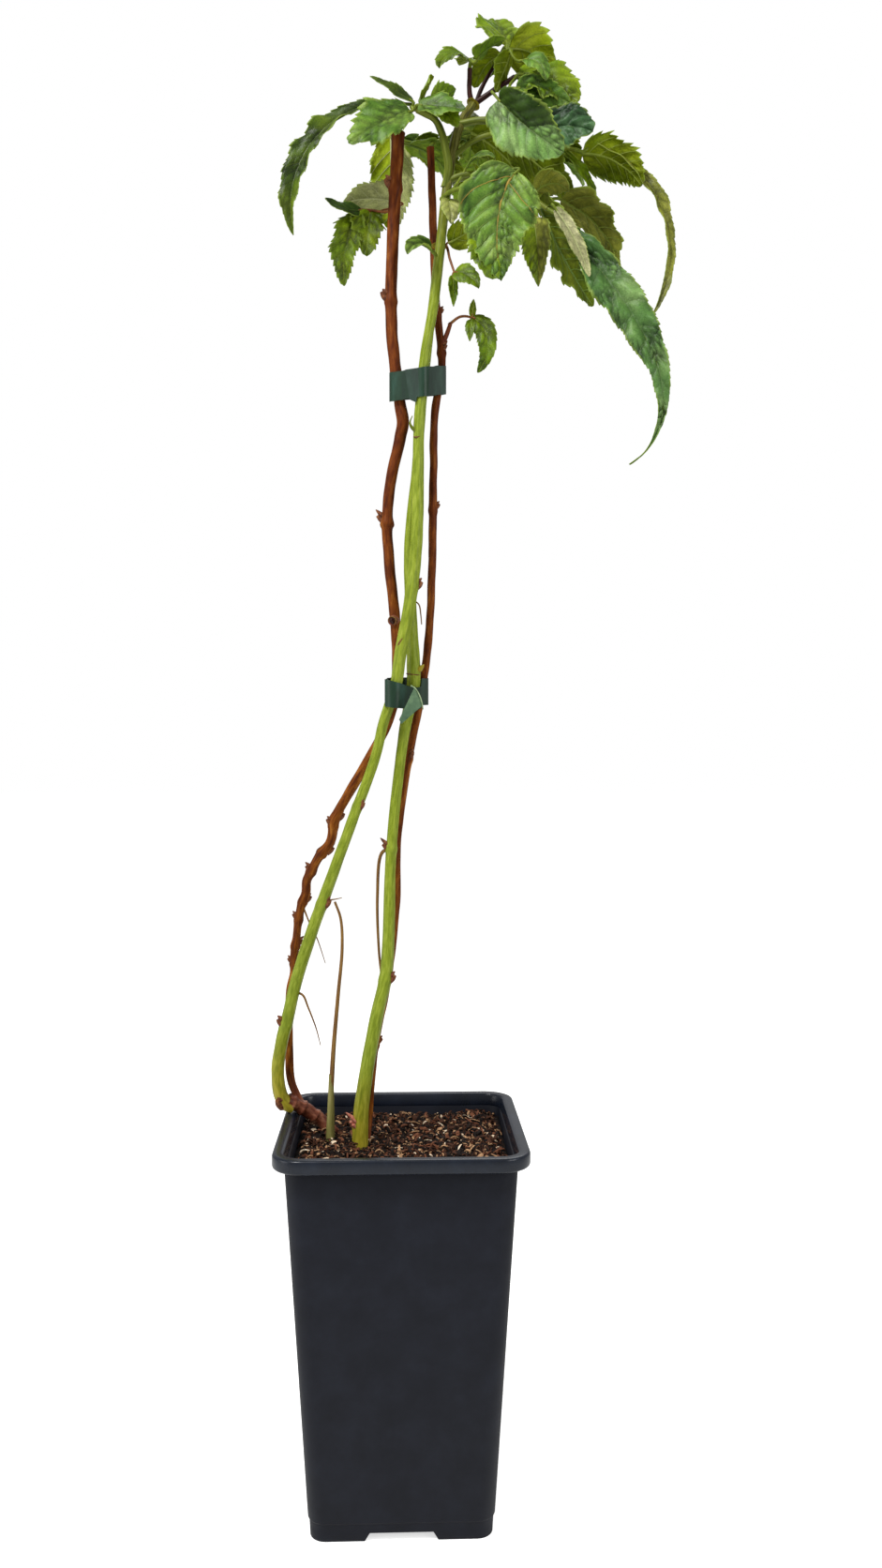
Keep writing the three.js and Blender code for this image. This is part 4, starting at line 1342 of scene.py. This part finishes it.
def leaf_axes(leaf, s):
    """The ways ahead, sideways and out of the face at a share s of the leaf's length."""
    bent = s ** leaf["hook"]
    turn = math.radians(leaf["heading"] + leaf["swing"] * bent)
    slope = math.radians(leaf["rise"] + (leaf["fall"] - leaf["rise"]) * bent)
    bank = math.radians(leaf["roll"] + leaf["twist"] * s)
    ahead = Vector((math.cos(slope) * math.cos(turn), math.cos(slope) * math.sin(turn), math.sin(slope)))
    level = Vector((-math.sin(turn), math.cos(turn), 0))
    side = level * math.cos(bank) + ahead.cross(level) * math.sin(bank)
    return ahead, side, ahead.cross(side)


def midrib_of(leaf, rows):
    """Places and axes down the middle of a leaf. The solid's coarser steps lag by half a step."""
    length = leaf["length"]
    lag = 0.5 / (36 if length > 100 else 20 if length > 40 else 12)
    place, frames, fine = Vector(leaf["place"]), [], 4
    for i in range(rows * fine + 1):
        s = i / (rows * fine)
        if i % fine == 0:
            frames.append((place.copy(), *leaf_axes(leaf, s)))
        place += leaf_axes(leaf, max(0, s - lag))[0] * (length / (rows * fine))
    return frames


def leaf_counts(leaf):
    """How many teeth and side veins a leaf has down each side."""
    teeth = max(5, round(leaf["length"] / leaf["teeth"]))
    veins = min(10, max(4, round(leaf["length"] / 9)))
    return teeth, veins


def half_width(leaf, s):
    """Half the leaf's width at a share s of its length, at least a third of a millimetre."""
    profile = max(math.sin(math.pi * min(s, 1) ** leaf["belly"]), 0) if s < 1 else 0
    return max(leaf["width"] / 2 * profile ** leaf["taper"], 0.35)


def leaf_relief(leaf, s, u, seed):
    """How high the sheet stands at a place, how near a vein it is, and how light it is painted: dark in the
    creases and lighter up each blister, as painted shade and painted light.
    """
    _, veins = leaf_counts(leaf)
    length, half, reach = leaf["length"], half_width(leaf, s), abs(u)
    along, across = s * length, u * half

    # Between two side veins, which wander a little, the sheet is a pillow.
    drift = 0.35 * wobble(along / 11, across / 9, seed * 2.9)
    v = veins * (s - vein_sweep * half / length * reach**vein_bow) + (0.5 if u < 0 else 0) + drift * reach
    from_vein = abs((v + 0.5) % 1 - 0.5) * length / veins
    from_vein = min(from_vein, reach * half * 1.3)
    pillow = min(1, from_vein / (0.42 * length / veins)) ** 0.7

    # The pillow is broken into blisters, which are deeper in some parts of the leaf.
    near = noise.voronoi(Vector((v * length / veins / 6.5, across / 3.4, seed * 7.3)))[0]
    deep = min(1, max(0.15, 0.55 + 1.6 * wobble(along / 15, across / 12, seed * 5.1)))
    blister = 1 - deep * (1 - min(1, 1.7 * (near[1] - near[0])) ** 0.8)
    size = leaf["quilt"] * min(1.2, 0.25 + leaf["width"] / 40)
    lift = size * (1.3 * (pillow - 0.5) * (1 - 0.6 * reach**4) + 1.3 * (blister - 0.5))

    # Broad swells cross the whole sheet, and its margin ripples.
    swell = wobble(along / 17, across / 13, seed + 9.1)
    lift += leaf["crumple"] * min(leaf["width"], 40) * swell * min(1, 2 * reach)
    ripple = math.sin(2 * math.pi * (along / 19 + (0.3 if u < 0 else 0) + seed * 0.37))
    lift += leaf["wave"] * half * reach**3 * ripple
    vein_line = max(0, 1 - from_vein / (0.9 - 0.3 * reach))
    # The last value is painted shade and painted light: low in the creases between veins and blisters, high
    # on top of them.
    return lift, vein_line, (0.56 + 0.44 * pillow) * (0.26 + 0.74 * blister)


def leaf_point(leaf, frames, s, u, seed, lift=None):
    """A place on the sheet: s runs from base to tip, u from the left margin to the right."""
    teeth, _ = leaf_counts(leaf)
    rows = len(frames) - 1
    i = min(int(s * rows), rows - 1)
    part = s * rows - i
    spine, ahead, side, face = (a.lerp(b, part) for a, b in zip(frames[i], frames[i + 1]))
    half = half_width(leaf, s)
    reach = abs(u)
    flank = 3.7 if u < 0 else 0
    tooth = s * teeth + flank * 0.1
    in_tooth = tooth % 1
    size_here = 0.7 + 0.9 * wobble(math.floor(tooth) * 0.77, seed, flank)
    tooth_size = min(2.6, 0.2 * half) * leaf["cut"] * size_here
    lobe = wobble(s * leaf["length"] / 14, seed * 1.7, flank) * leaf["ragged"] * half
    out = reach * half + (tooth_size * (in_tooth - 0.5) + lobe) * reach**7
    fold = math.radians(leaf["fold"] * (1 - leaf["unfold"] * s))
    if lift is None:
        lift = leaf_relief(leaf, s, u, seed)[0]
    place = spine + side * math.copysign(out * math.cos(fold), u)
    place += face * (out * math.sin(fold) - leaf["curl"] * half * u * u + lift)
    swept = leaf["lean"] * out * (1 - s) * min(1, 3 * s)
    place += ahead * (swept + 0.8 * tooth_size * in_tooth * reach**7)
    return place


# %% [markdown]
# The crown is written down spray by spray. Each spray has a stem that carries on from its bough
# and leaves with their base, their bends, their size and the tone of green they have. The
# leaves at the back are dealt out along their stems by a seeded rule.

# %% Sprays of leaves
sprays = {
    "foliage_top": {
        "stem": [(71.3, 4, 1018.5), (73, 2, 1021), (75, -2, 1021)],
        "leaves": [
            leaf((75, 0, 1022), (105, 58, 44), (42, 42), "bright", taper=0.6),
            leaf((76, -4, 1017), (20, 20, -75, -12), (38, 33), "bright", roll=-40),
            leaf((77, -4, 1014), (-157, -66, -72, -20), (31, 19), "olive", roll=50),
            leaf((86, -14, 1004), (-40, -15, -91, 20), (27, 16), "blue", roll=50),
            leaf((72, 6, 1019), (125, 20, -60, 0), (36, 24), "bright", taper=0.6),
        ],
    },
    "foliage_top_left": {
        "stem": [(48.5, 0, 1005.4), (48.8, 0, 1008), (49.5, -1, 1011)],
        "leaves": [
            leaf((47, 0, 1012), (-152, 15, -83), (30, 20), "olive", roll=-40),
            leaf((53, -6, 1008), (-40, 35, 0, 20), (24, 26), "mid", roll=20),
            leaf((49, 3, 1012), (110, 40, 0), (22, 16), "bright"),
        ],
    },
    "foliage_top_right": {
        "stem": [(80.4, -5.1, 997.2), (83, -6, 998), (86, -6, 998)],
        "leaves": [
            leaf((82, -6, 996), (-11, -1, -57), (48, 40), "olive", roll=60, taper=0.6, quilt=0.9),
            leaf((86, -2, 999), (40, 15, -50), (44, 30), "olive", taper=0.6),
            leaf((80, -13, 985), (-8, -8, -32), (40, 21), "mid", roll=104, taper=0.6),
        ],
    },
    "foliage_right": {
        "stem": [(74.4, -15.1, 959.8), (85, -17, 956), (100, -16, 951), (112, -16, 947)],
        "leaves": [
            # Its steep, folded right half takes the dark tone, as painted shade.
            leaf(
                (66, -33, 966), (-28, -52, -34, 20), (62, 41), "light",
                roll=112, fold=38, unfold=0.75, taper=0.55, right_tone=("dark", 0.5), quilt=0.7,
            ),
            leaf(
                (95, -24, 949), (-23, 10, -28, 14), (38, 36), "deep",
                roll=78, taper=0.5, quilt=1.5, crumple=0.12,
            ),
            leaf((105, -6, 954), (13, -18, -54, -17), (27, 24), "olive", roll=-30),
            leaf((78, 8, 959), (6, -37, -47, -29), (61, 42), "olive", roll=-30, taper=0.6),
            leaf((114, -4, 948), (-8, -43, -76, -6), (45, 11), "olive", roll=50, taper=0.6),
        ],
    },
    "foliage_right_arch": {
        "stem": [(123.4, -10, 943.9), (127, -10, 943), (131, -11, 945)],
        "leaves": [
            leaf(
                (127, -10, 942), (-10, -5, -62), (50, 33), "olive",
                roll=-45, taper=0.6, cut=1.7, ragged=0.35, fold=22,
            ),
            leaf(
                (136, -12, 948), (-9, -25, -121), (143, 11), "grey",
                roll=60, taper=0.5, quilt=0.6, fold=35, crumple=0.25,
            ),
        ],
    },
    "foliage_front": {
        "stem": [(29, -8, 910), (34, -20, 909), (44, -30, 908), (61, -42, 911), (70, -47, 911)],
        "leaves": [
            leaf(
                (77, -50, 909), (182, -44, -103), (76, 55), "blue",
                roll=-78, hook=0.5, taper=0.8, belly=0.55, lean=0.1, quilt=1, marked_veins=3, ragged=0.1,
            ),
            leaf((61, -44, 875), (-90, -75, -91), (38, 31), "olive", taper=0.5),
            leaf((45, -14, 928), (-30, 54, -54), (26, 13), "mid", roll=40),
            leaf((33, -14, 907), (-80, -56, -81), (23, 14), "pale"),
        ],
    },
    "foliage_droop": {
        "stem": [(90.3, -0.2, 919.7), (96, -6, 914), (106, -5, 912)],
        "leaves": [
            leaf(
                (92, -16, 893), (-80, -62, -95), (53, 25), "bright",
                taper=0.8, quilt=0.3, roll=28, fold=30, right_tone=("grey", 1),
            ),
            leaf((96, -10, 909), (-30, -68, -58), (91, 38), "moss", roll=-40, taper=0.6, quilt=0.3),
            leaf((113, -2, 913), (3, -21, -81, -14), (67, 38), "grey", roll=-20, taper=0.6),
            leaf((95, -6, 917), (-23, 36, -57, 16), (26, 20), "grey", roll=-40),
        ],
    },
    "foliage_long": {
        "stem": [(101.3, -23.1, 896.7), (104, -25, 894), (108, -28, 890)],
        "leaves": [
            leaf(
                (104, -39, 890), (-20, -55, -74, 9), (54, 11), "cream",
                roll=-66, taper=0.5, teeth=3, ragged=0.3,
            ),
            leaf(
                (108, -28, 891), (-27, -55, -168, -5), (206, 28), "sea",
                roll=75, hook=4, taper=1.8, belly=0.66, quilt=2.2, crumple=0.12, wave=0.2,
                cut=0.7, ragged=0.28,
            ),
        ],
    },
    "foliage_left": {
        "stem": [(10.6, -12, 969.1), (8, -12, 970), (7, -10, 972)],
        "leaves": [
            leaf(
                (6, -8, 975), (-168, 0, -104, -6), (147, 22), "moss",
                roll=-55, taper=0.8, belly=1.2, fold=32, crumple=0.12,
            ),
            leaf(
                (7, -14, 967), (-154, -27, -42, -14), (55, 30), "mid",
                roll=-66, taper=0.55, cut=2.1, ragged=0.5, teeth=6,
            ),
            leaf((8, -11, 975), (-172, 32, 26, -14), (34, 10), "moss", roll=-60),
            leaf((12, -16, 970), (-20, -11, -17), (35, 24), "mid", roll=60),
            leaf((14, -10, 975), (6, 71, 59), (21, 20), "olive"),
            leaf((20, -8, 973), (20, 41, 41), (26, 22), "mid", roll=-40),
            leaf((24, -18, 968), (-20, -31, -66), (23, 16), "bright", roll=60),
        ],
    },
    "foliage_left_low": {
        "stalks": "red",
        "stem": [(-6, 0, 905), (-12, 10, 908), (-22, 16, 912), (-30, 16, 912)],
        "leaves": [
            leaf(
                (-31, 15, 909), (-137, -58, -98), (58, 21), "bright",
                roll=-42, taper=0.6, cut=1.6, ragged=0.3,
            ),
            leaf((-28, 16, 912), (-149, -18, 39, -28), (29, 14), "dark", roll=-60),
            leaf((-4, 22, 921), (-176, 12, -30, 12), (40, 26), "pale", roll=36, quilt=0.3),
            leaf(
                (-22, 17, 912), (-105, -60, -95), (38, 24), "bright",
                roll=-15, taper=0.6, cut=1.6, ragged=0.3,
            ),
        ],
    },
    "foliage_small_left": {
        "stem": [(25, -8, 868), (23.5, -12, 869.5), (21.5, -14, 870.5)],
        "leaves": [leaf((21, -14.5, 871), (-150, 30, -80), (24, 15), "mid", roll=-50, fold=35, crumple=0.14)],
    },
    "foliage_small_right": {
        "stalks": "red",
        "stem": [(27.1, 0, 880.4), (31.5, -3, 879), (34, -8, 868), (37, -12, 857)],
        "leaves": [
            leaf((33, -8, 879), (-20, 20, 30), (26, 20), "olive", roll=-40),
            leaf((37, -14, 856), (-42, -10, -71, 20), (26, 15), "olive", roll=65),
            leaf((36, -12, 855), (-82, -77, -91), (23, 7), "olive"),
        ],
    },
    "foliage_side": {
        "stalks": "red",
        "stem": [(35.2, 3.9, 827.3), (41, 2, 831), (45, 0, 831), (49.5, -3.5, 829)],
        "leaves": [
            leaf((50, -4, 829), (-67, 81, 75), (12, 6), "olive"),
            leaf((50, -4, 829), (-30, -34, -140), (46, 15), "olive", roll=70, taper=0.6),
            leaf((49, -4, 827), (-100, -60, -83), (18, 7), "olive"),
        ],
    },
    "foliage_rear": {
        "stem": [(21, 10, 954.4), (24, 18, 962), (34, 30, 970), (44, 40, 972)],
        "leaves": [leaf((51, 22, 972), (6, -24, -62), (55, 36), "olive", roll=-30, taper=0.6)],
        "fan": (7, 3, 50, 150, 52, 66),
    },
    "foliage_rear_right": {
        "stem": [(66.2, 44.4, 985), (70, 54, 984), (78, 62, 981)],
        "leaves": [],
        "fan": (19, 5, -20, 120, 54, 72),
    },
    "foliage_rear_left": {
        "stem": [(-3, 0, 948), (-5, 12, 960), (-7, 28, 971)],
        "leaves": [
            leaf((-7, 30, 972), (90, -80, -95), (66, 32), "pale", taper=0.5, right_tone=("bright", 1))
        ],
        "fan": (31, 3, 40, 105, 42, 52),
    },
}


def fanned_leaves(stem, seed, count, start, end, shortest, longest):
    """Leaves dealt out along a stem by a seeded rule, fanned evenly between two headings."""
    chance = random_from(seed)
    route = smooth_route(stem, 0.25)
    grown = []
    for i in range(count):
        root = route[round((0.25 + 0.75 * (i + 0.5) / count) * (len(route) - 1))]
        heading = start + (end - start) * ((i * 3) % count) / (count - 1) + (next(chance) - 0.5) * 14
        rise = 5 + next(chance) * 30
        length = shortest + next(chance) * (longest - shortest)
        stalk = 10 + next(chance) * 8
        turn, slope = math.radians(heading), math.radians(rise)
        way = Vector((math.cos(turn) * math.cos(slope), math.sin(turn) * math.cos(slope), math.sin(slope)))
        size = (length, length * (0.52 + next(chance) * 0.12))
        bends = (heading, rise, -70 + next(chance) * 20)
        tone = ("mid", "olive", "blue")[i % 3]
        grown.append(leaf(root + way * stalk, bends, size, tone, roll=(next(chance) - 0.5) * 40, taper=0.6))
    return grown


for spray in sprays.values():
    if "fan" in spray:
        spray["leaves"] += fanned_leaves(spray["stem"], *spray["fan"])
print("leaves:", sum(len(spray["leaves"]) for spray in sprays.values()))


# %% [markdown]
# A leaf has two finishes. The upper side is darker and a little waxy, and the underside is paler
# and dull. Both have a fine mottle of about a millimetre, as relief and as a change of colour.
# Both are also painted darker in their creases and lighter up each blister, as painted shade and
# painted light, the upper side darkest in its creases. Along the veins they turn paler, and along
# the margin yellower. Each sheet keeps these places in its own coordinates.


# %% Leaf finishes
def leaf_finish(name, stops, vein, roughness, relief_mm, painted_shade_floor, gloss):
    """A leaf's skin: painted_shade_floor is how light the painted shade leaves a crease, from 0 to 1."""
    material = grained(name, stops, grain_mm=30, roughness=roughness, relief_mm=relief_mm, gloss=gloss)
    base = material.node_tree.nodes["Principled BSDF"].inputs["Base Color"]
    vector = node_of(material, "MAPPING").outputs["Vector"]
    own_place = add_node(material, "ShaderNodeAttribute", {"attribute_name": "blade"}).outputs["Vector"]
    split = add_node(material, "ShaderNodeSeparateXYZ", links={"Vector": own_place})
    mottle = {"Scale": 30 / 0.9, "Detail": 3}
    fine = add_node(material, "ShaderNodeTexNoise", mottle, {"Vector": vector}).outputs["Fac"]
    spread = {"From Min": 0.3, "From Max": 0.7, "To Min": 0.72, "To Max": 1.22}
    speckle = add_node(material, "ShaderNodeMapRange", spread, {"Value": fine}).outputs["Result"]
    # The third value of the sheet's own places paints it darker in its creases and lighter up its blisters,
    # as painted shade and painted light.
    rise = {"To Min": painted_shade_floor, "To Max": 1.44}
    height = add_node(material, "ShaderNodeMapRange", rise, {"Value": split.outputs["Z"]}).outputs["Result"]
    product = {"operation": "MULTIPLY"}
    mottle_and_painted_shade = add_node(material, "ShaderNodeMath", product, {0: speckle, 1: height}).outputs["Value"]
    sockets = {"Vector": base.links[0].from_socket, "Scale": mottle_and_painted_shade}
    shaded = add_node(material, "ShaderNodeVectorMath", {"operation": "SCALE"}, sockets)
    colour = shaded.outputs["Vector"]
    # Close to a vein, and then close to the margin, the colour runs over into another one.
    for axis, start, most, tint in (("Y", 0.35, 0.42, vein), ("X", 0.9, 0.7, leaf_margin)):
        near = {"From Min": start, "To Max": most}
        share = add_node(material, "ShaderNodeMapRange", near, {"Value": split.outputs[axis]})
        parts = {0: share.outputs["Result"], 6: colour}
        mixed = add_node(material, "ShaderNodeMix", {"data_type": "RGBA"}, parts)
        mixed.inputs[7].default_value = linear(tint)
        colour = mixed.outputs[2]
    material.node_tree.links.new(colour, base)
    material.node_tree.links.new(fine, node_of(material, "BUMP").inputs["Height"])
    return material


# Twelve greens, dealt out to the leaves one by one: for each the darkest, the usual and the
# lightest colour of the upper side, and then of the underside, which is mostly a little paler.
# Grey and cream leaves are the same on both sides.
leaf_tones = {
    "olive": (["#385202", "#566d04", "#849614"], ["#3c5003", "#606e06", "#8f9a24"]),
    "bright": (["#446008", "#64790a", "#929e1e"], ["#55690a", "#76850e", "#a2ac34"]),
    "blue": (["#2c5012", "#557426", "#8fa450"], ["#4a6c1c", "#6c8a34", "#9ab068"]),
    "sea": (["#2a4a22", "#4a6c32", "#7c965a"], ["#4a6c1c", "#6c8a34", "#9ab068"]),
    "light": (["#41692c", "#678844", "#9cb276"], ["#4a6c1c", "#6c8a34", "#9ab068"]),
    "mid": (["#2e5010", "#4c6a20", "#829a40"], ["#45660e", "#6a8422", "#98a848"]),
    "deep": (["#162e1a", "#304e2c", "#66885c"], ["#34520c", "#50701c", "#7b9040"]),
    "moss": (["#203404", "#374a06", "#5f7016"], ["#35480a", "#525f0e", "#808a2c"]),
    "dark": (["#1a2e08", "#2c4210", "#48601e"], ["#34480c", "#50621c", "#77833c"]),
    "grey": (["#565a18", "#767a2a", "#a0a04e"], ["#565a18", "#767a2a", "#a0a04e"]),
    "cream": (["#85865a", "#a3a276", "#c6c298"], ["#85865a", "#a3a276", "#c6c298"]),
    "pale": (["#66702c", "#8a9048", "#b2b274"], ["#74803f", "#929760", "#b8ba88"]),
}
leaf_margin = "#8ba03e"
# painted_shade_floor: how light the painted shade leaves the bottom of a crease, on each side.
upper_side = {"roughness": 0.42, "relief_mm": 0.25, "painted_shade_floor": 0.0, "gloss": 0.18}
underside = {"roughness": 0.62, "relief_mm": 0.2, "painted_shade_floor": 0.4, "gloss": 0.07}
leaf_paints = []
for tone, sides in leaf_tones.items():
    for hexes, label, look in zip(sides, ("upper side", "underside"), (upper_side, underside)):
        stops = list(zip((0.25, 0.5, 0.8), hexes))
        leaf_paints.append(leaf_finish(f"leaf, {tone} {label}", stops, hexes[2], **look))
tone_slots = {tone: 2 * i for i, tone in enumerate(leaf_tones)}

# A vein is a smooth, dull strand: fresh green in most leaves, yellower in olive, bright and
# grey ones, pale in pale and cream ones, and amber where it is marked.
vein_finishes = {
    name: grained("leaf vein, " + label, [(0.3, dark), (0.7, light)], 3, roughness=0.5)
    for name, label, dark, light in (
        ("fresh", "fresh green", "#4a6218", "#667e30"),
        ("green", "yellow-green", "#65761e", "#869238"),
        ("pale", "pale", "#8c945c", "#b0b380"),
        ("amber", "amber", "#7c6a24", "#a58a3c"),
    )
}
tone_veins = {tone: "fresh" for tone in leaf_tones} | {"olive": "green", "bright": "green", "grey": "green"}
tone_veins |= {"pale": "pale", "cream": "pale"}
# A stalk is smooth and dull, green in the crown and red-brown on the low side shoots.
stalk_finishes = {
    name: grained("leaf stalk, " + label, list(zip((0.3, 0.55, 0.8), hexes)), 4, roughness=0.5)
    for name, label, hexes in (
        ("green", "green", ("#4c5c12", "#6a7820", "#8e9642")),
        ("red", "red-brown", ("#5a3418", "#7c4a26", "#94703a")),
    )
}
stem_radius = {"green": 1.6, "red": 1.1}


# %% Blades
def blade(leaf, seed):
    """A leaf's sheet, whose corners know how near they are to the margin and to a vein, and how light the
    painted shade makes them.
    """
    teeth, _ = leaf_counts(leaf)
    rows, columns = teeth * rows_per_tooth, max(14, round(leaf["width"] / column_width))
    frames = midrib_of(leaf, rows)
    bpy.ops.mesh.primitive_grid_add(x_subdivisions=columns, y_subdivisions=rows, size=2)
    sheet = bpy.context.object
    own = sheet.data.attributes.new("blade", "FLOAT_VECTOR", "POINT")
    for i, vertex in enumerate(sheet.data.vertices):
        x, y, _ = vertex.co
        s, u = (y + 1) / 2, -x
        lift, vein_line, height = leaf_relief(leaf, s, u, seed)
        # The third value is painted shade and painted light, which the leaf finishes read.
        own.data[i].vector = (abs(u), vein_line, height)
        vertex.co = at(leaf_point(leaf, frames, s, u, seed, lift))
    # The right half can take another tone; on the folded leaf of the right spray it is painted shade.
    right_tone, right_end = leaf.get("right_tone", (leaf["tone"], 1))
    for i, polygon in enumerate(sheet.data.polygons):
        s, u = i // columns / rows, 1 - 2 * (i % columns) / columns
        on_right = u > 0 and s < right_end + 0.3 * u
        polygon.material_index = tone_slots[right_tone if on_right else leaf["tone"]]
    return with_finish(sheet, *leaf_paints)


def side_vein(leaf, start):
    """How far along the leaf and how far out to its margin a side vein is, step by step."""
    steps = []
    for k in range(16):
        reach = 0.97 * k / 15
        s = start
        for _ in range(4):
            s = start + vein_sweep * half_width(leaf, min(s, 0.999)) / leaf["length"] * reach**vein_bow
        if s > 0.98:
            break
        steps.append((s, reach))
    return steps


def vein_routes(leaf, seed):
    """The midrib and the side veins, each a list of places with a radius."""
    teeth, veins = leaf_counts(leaf)
    frames = midrib_of(leaf, teeth * rows_per_tooth)
    thick = min(1.0, 0.3 + leaf["width"] / 70)
    stand = 0.3 if leaf["marked_veins"] else -0.18

    def place(s, u):
        i = min(int(s * (len(frames) - 1)), len(frames) - 2)
        return leaf_point(leaf, frames, s, u, seed) + frames[i][3] * stand

    middle = [k / 40 for k in range(40)]
    routes = [[(place(s, 0), thick * (1 - s) + 0.25) for s in middle]]
    for j in range(1, veins):
        for side in (-1, 1):
            steps = side_vein(leaf, (j - (0.5 if side < 0 else 0)) / veins)
            if len(steps) > 3:
                radii = [0.34 * thick * (1 - 0.55 * reach) + 0.1 for _, reach in steps]
                places = [place(s, side * reach) for s, reach in steps]
                routes.append(list(zip(places, radii)))
    return routes


def stalk_route(stem, leaf, thick):
    """From the nearest place on the spray's stem, round to the leaf's own way, and into its base."""
    base = Vector(leaf["place"])
    ahead = leaf_axes(leaf, 0)[0]
    route = smooth_route(stem, 0.5)
    root = min(route[len(route) // 4 :], key=lambda place: (place - base).length)
    reach = (root - base).length
    before = base - ahead * min(reach * 0.3, 10)
    centres = smooth_route([root, before, base + ahead * 3], 1)
    last = len(centres) - 1
    return [(centre, thick * (1 - 0.28 * i / last)) for i, centre in enumerate(centres)]


def grow_spray(spray, seed, sheets, veins, stalks):
    """Adds the blades, the veins and the stalks of a spray to those of its region."""
    stem, kind = spray["stem"], spray.get("stalks", "green")
    sunk = Vector(stem[0]) + (Vector(stem[0]) - Vector(stem[1])).normalized() * 2
    centres = smooth_route([sunk, *stem], 1)
    last = len(centres) - 1
    thick = stem_radius[kind]
    stalks[kind].append([(centre, thick - 0.3 * i / last) for i, centre in enumerate(centres)])
    for own_seed, each in enumerate(spray["leaves"], seed):
        sheets.append(blade(each, own_seed))
        routes, marked = vein_routes(each, own_seed), each["marked_veins"]
        veins["amber"] += routes[:marked]
        veins[tone_veins[each["tone"]]] += routes[marked:]
        stalks[kind].append(stalk_route(stem, each, thick * 0.75))


def finish_strands(label, region, strands, finishes, resolution):
    """One piece for each kind of vein or stalk that a region has."""
    for kind, routes in strands.items():
        if routes:
            piece = tubes(f"{label}_{kind}_{region}", routes, resolution)
            finish_piece(with_finish(piece, finishes[kind]), "leaf")


# The sprays whose leaves become one piece, with their veins and stalks as a few pieces more.
regions = {
    "upper": ["foliage_top", "foliage_top_left", "foliage_top_right"],
    "right": ["foliage_right", "foliage_right_arch"],
    "front": ["foliage_front", "foliage_droop", "foliage_long"],
    "left": ["foliage_left", "foliage_left_low"],
    "small": ["foliage_small_left", "foliage_small_right", "foliage_side"],
    "rear": ["foliage_rear", "foliage_rear_right", "foliage_rear_left"],
}
for region, names in regions.items():
    sheets = []
    veins = {kind: [] for kind in vein_finishes}
    stalks = {kind: [] for kind in stalk_finishes}
    for number, name in enumerate(names):
        grow_spray(sprays[name], 10 * number + len(region), sheets, veins, stalks)
    leaves = joined("leaves_" + region, sheets)
    apply_all(leaves)
    # The solid's second face takes the material after the first one's, which is the underside.
    thickness = blade_thickness * mm
    add_modifier(
        leaves, "SOLIDIFY", thickness=thickness, offset=0, material_offset=1, material_offset_rim=0
    )
    smooth(leaves)
    finish_piece(leaves, "leaf", *names)
    finish_strands("veins", region, veins, vein_finishes, 0)
    finish_strands("stalks", region, stalks, stalk_finishes, 3)
